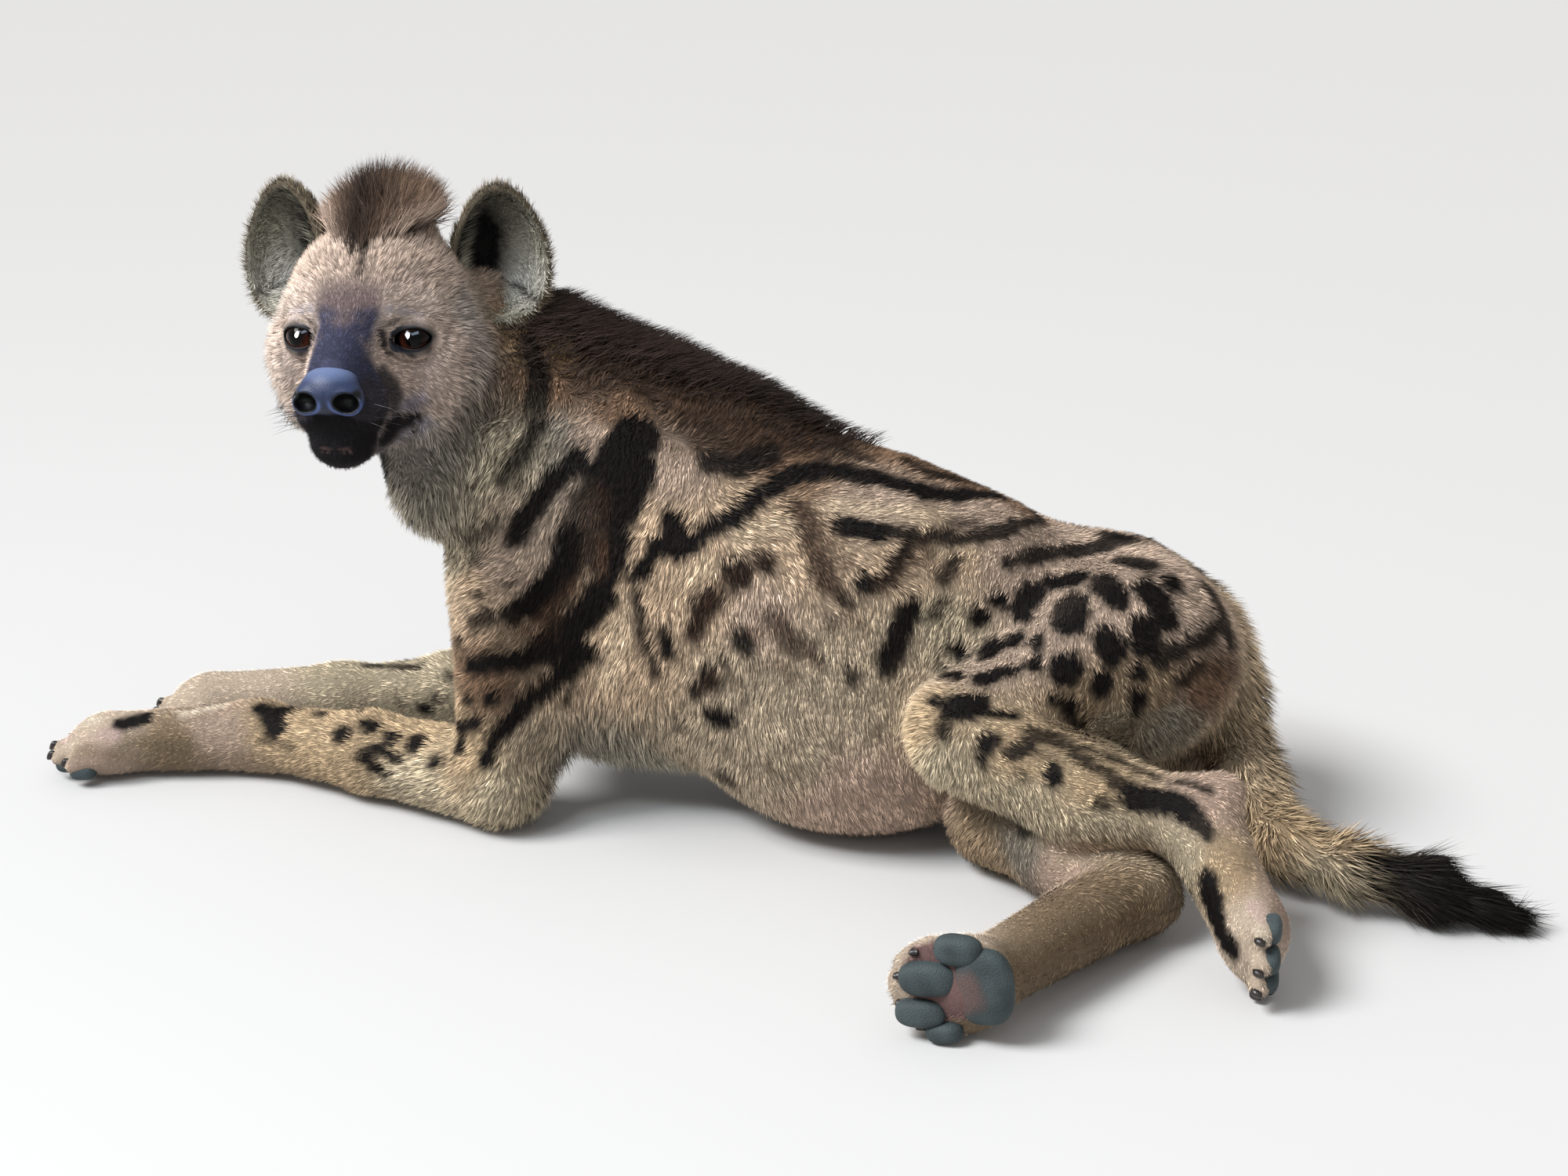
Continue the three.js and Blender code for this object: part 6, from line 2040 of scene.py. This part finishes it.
def pad_form(middle, axes, radii, corner=2.6):
    """A rounded box: points of a sphere pulled out so that the sum of |x|^corner is 1."""
    t = np.linspace(0, np.pi, PAD_STEPS + 2)[1:-1]
    turn_round = np.linspace(0, 2 * np.pi, 2 * PAD_STEPS, endpoint=False)
    ball = np.stack([
        np.outer(np.sin(t), np.cos(turn_round)), np.outer(np.sin(t), np.sin(turn_round)),
        np.outer(np.cos(t), np.ones(2 * PAD_STEPS))], -1).reshape(-1, 3)
    ball = np.concatenate([ball, [[0, 0, 1], [0, 0, -1]]])
    ball = ball / (np.abs(ball) ** corner).sum(1, keepdims=True) ** (1 / corner)
    verts = middle + (ball * radii) @ axes
    return verts, outward(verts, closed_rings(PAD_STEPS, 2 * PAD_STEPS))


def joined(forms):
    """Several closed meshes as one: corners and triangles."""
    shift, verts, triangles = 0, [], []
    for some_verts, some_triangles in forms:
        verts.append(some_verts)
        triangles.append(some_triangles + shift)
        shift += len(some_verts)
    return np.concatenate(verts), np.concatenate(triangles)


def on_sole(paw, pixels, out):
    """Where rays through pixels meet the plane that lies out millimetres beyond the paw's middle."""
    rays = pixel_rays(np.asarray(pixels, float))
    far = (paw.at(0, 0, out) - camera_place) @ paw.sole / (rays @ paw.sole)
    return camera_place + far[:, None] * rays


# the pads as seen: middle, half length, half width, tilt in degrees; the big pad comes last
SOLE_PADS = ((1222, 1212, 31, 20, 8), (1184, 1248, 38, 23, 2), (1174, 1291, 32, 19, 4),
             (1205, 1315, 24, 14, 0), (1256, 1259, 38, 52, 0))
SOLE_OUT, PINK_SEEN, SOLE_STEP = 21, (1230, 1262), 10


def pads_of(name, paw):
    axes = np.stack([paw.ahead, paw.across, paw.sole])
    if name != "foot_hind_right":
        forms = [pad_form(paw.at(a + 6, s * 0.95, 15), axes, vec(13, 10, 8)) for a, s in TOES]
        return forms + [pad_form(paw.at(-24, 0, 15), axes, vec(18, 26, 9.5), 2.3)]
    forms = []
    for x, y, half_long, half_wide, tilt in SOLE_PADS:
        middle, right, below = on_sole(paw, [(x, y), (x + SOLE_STEP, y), (x, y + SOLE_STEP)],
                                       SOLE_OUT)
        lean = math.radians(tilt)
        first, second = unit(right - middle), unit(below - middle)
        long_axis = unit(first * math.cos(lean) + second * math.sin(lean))
        own_axes = np.stack([long_axis, np.cross(paw.sole, long_axis), paw.sole])
        scale = np.linalg.norm(right - middle) / SOLE_STEP
        deep = 11 if half_wide < 40 else 12
        forms.append(pad_form(middle, own_axes, vec(half_long * scale, half_wide * scale, deep)))
    return forms


for name, paw in PAWS.items():
    verts, triangles = joined(pads_of(name, paw))
    pads = mesh_piece("pads_" + name, verts, triangles, PAD)
    tint = np.clip(0.5 + 0.5 * ripple(verts, 26, 95), 0, 1)[:, None]
    pad_colour = PAD_COLOUR * (0.75 + 0.4 * tint)
    if name == "foot_hind_right":
        middle = on_sole(paw, [PINK_SEEN], SOLE_OUT)[0]
        from_pink = np.linalg.norm(verts - middle, axis=1) + 3 * ripple(verts, 30, 96)
        on_big_pad = np.arange(len(verts)) >= 4 * len(verts) // 5
        pink = (np.clip((25 - from_pink) / 9, 0, 1) * on_big_pad)[:, None]
        pad_colour = pad_colour + (PAD_PINK - pad_colour) * 0.85 * pink
    store_colour(pads.data, pad_colour)
    ride(pads, "pad")
print("pads on", len(PAWS), "paws")

# %% [markdown]
# A claw is a blunt cone of horn that bends towards the sole and grows paler to its tip.

# %% Claws
CLAW = surface("claw_horn", 0.35, 0.5, 500, 0.5, 0.7, 1.3)
CLAW_LONG, CLAW_STEPS, CLAW_ROUND, CLAW_RADIUS = 5, 16, 24, 4.6
t = np.linspace(-0.5, 1, CLAW_STEPS)
claw_radius = CLAW_RADIUS * np.sqrt(np.clip(1 - np.maximum(t, 0) ** 2.2, 0.02, 1))
turn_round = np.linspace(0, 2 * np.pi, CLAW_ROUND, endpoint=False)
pale = np.concatenate([np.repeat(np.clip(t, 0, 1), CLAW_ROUND), [0, 1]])[:, None]
CLAW_DARK, CLAW_PALE = linear(24, 20, 19), linear(70, 60, 54)
claw_colour = CLAW_DARK * (1 - 0.5 * pale) + CLAW_PALE * 0.3 * pale
for name, paw in PAWS.items():
    ahead, out = (25, 16) if name == "foot_hind_right" else (22, 5)
    ring = np.cos(turn_round)[:, None] * 0.72 * paw.across + np.sin(turn_round)[:, None] * paw.sole
    for number, (a, s) in enumerate(TOES, 1):
        middle = np.stack([
            paw.at(a + ahead + CLAW_LONG * k, s, out + 3 * max(k, 0) ** 2) for k in t])
        verts = (middle[:, None] + claw_radius[:, None, None] * ring).reshape(-1, 3)
        verts = np.concatenate([verts, middle[:1], middle[-1:]])
        triangles = outward(verts, closed_rings(CLAW_STEPS, CLAW_ROUND))
        claw = mesh_piece(f"horn_{name}_{number}", verts, triangles, CLAW)
        store_colour(claw.data, claw_colour)
        ride(claw, "claw", f"claw_{name}_{number}")
print("claws:", len(PAWS) * len(TOES))

# %% [markdown]
# The studio: a sheet of pale paper far beyond the picture's edges, a broad sun like a window
# on the left, a bluish panel above the head, and a white surround. Two lamps fall on the
# eyeballs only, for the highlights that bring the eyes to life.

# %% Floor
floor_mesh = bpy.data.meshes.new("floor")
FLOOR_HALF, PAPER = 30, (0.565, 0.56, 0.555, 1)
floor_mesh.from_pydata([(FLOOR_HALF * x, FLOOR_HALF * y, 0)
                        for x, y in ((-1, -1), (1, -1), (1, 1), (-1, 1))], [], [(0, 1, 2, 3)])
floor = bpy.data.objects.new("floor", floor_mesh)
bpy.context.scene.collection.objects.link(floor)
paper, _, _, paper_shader = new_material("studio_paper")
paper_shader.inputs["Base Color"].default_value = PAPER
paper_shader.inputs["Roughness"].default_value = 0.9
floor_mesh.materials.append(paper)
print("floor:", 2 * FLOOR_HALF, "m wide")

# %% Light


def lamp(kind, name, place, target, strength, **settings):
    """A lamp of a kind at a place in metres, turned to its target."""
    data = bpy.data.lights.new(name, kind)
    data.energy = strength
    for key, value in settings.items():
        setattr(data, key, value)
    holder = bpy.data.objects.new(name, data)
    back = unit(vec(*place) - vec(*target))
    right = unit(np.cross(UP, back))
    holder.matrix_world = Matrix.Translation(place) @ Matrix(
        np.stack([right, np.cross(back, right), back], 1)).to_4x4()
    bpy.context.scene.collection.objects.link(holder)
    return holder


lamp("SUN", "window", (-1.5, -0.8, 2.2), (0, 0, 0.2), 3.35, angle=math.radians(26))
lamp("AREA", "sky_panel", (-1.1, -1.5, 2.3), (-0.35, 0, 0.6), 34, shape="RECTANGLE", size=1.3,
     size_y=0.45, color=(0.88, 0.94, 1.0))
BETWEEN_EYES = (-0.305, -0.144, 0.474)
catch_light = lamp("AREA", "catch_light", (-1.0, -1.08, 1.05), BETWEEN_EYES, 400,
                   shape="ELLIPSE", size=0.8, size_y=1.2)
catch_sky = lamp("AREA", "catch_sky", (0.2, -0.75, 1.4), BETWEEN_EYES, 40,
                 shape="RECTANGLE", size=1.3, size_y=0.4, color=(0.6, 0.76, 1.0))
only_eyes = bpy.data.collections.new("lit_by_the_catch_lights")
for name in SIDE_NAMES.values():
    only_eyes.objects.link(bpy.data.objects["eyeball_" + name])
for holder in (catch_light, catch_sky):
    holder.light_linking.receiver_collection = only_eyes
world = bpy.data.worlds.new("studio")
bpy.context.scene.world = world
world.use_nodes = True
surround = world.node_tree.nodes["Background"]
surround.inputs["Color"].default_value = (1, 1, 1, 1)
surround.inputs["Strength"].default_value = 0.56
bpy.context.scene.view_settings.view_transform = "Standard"
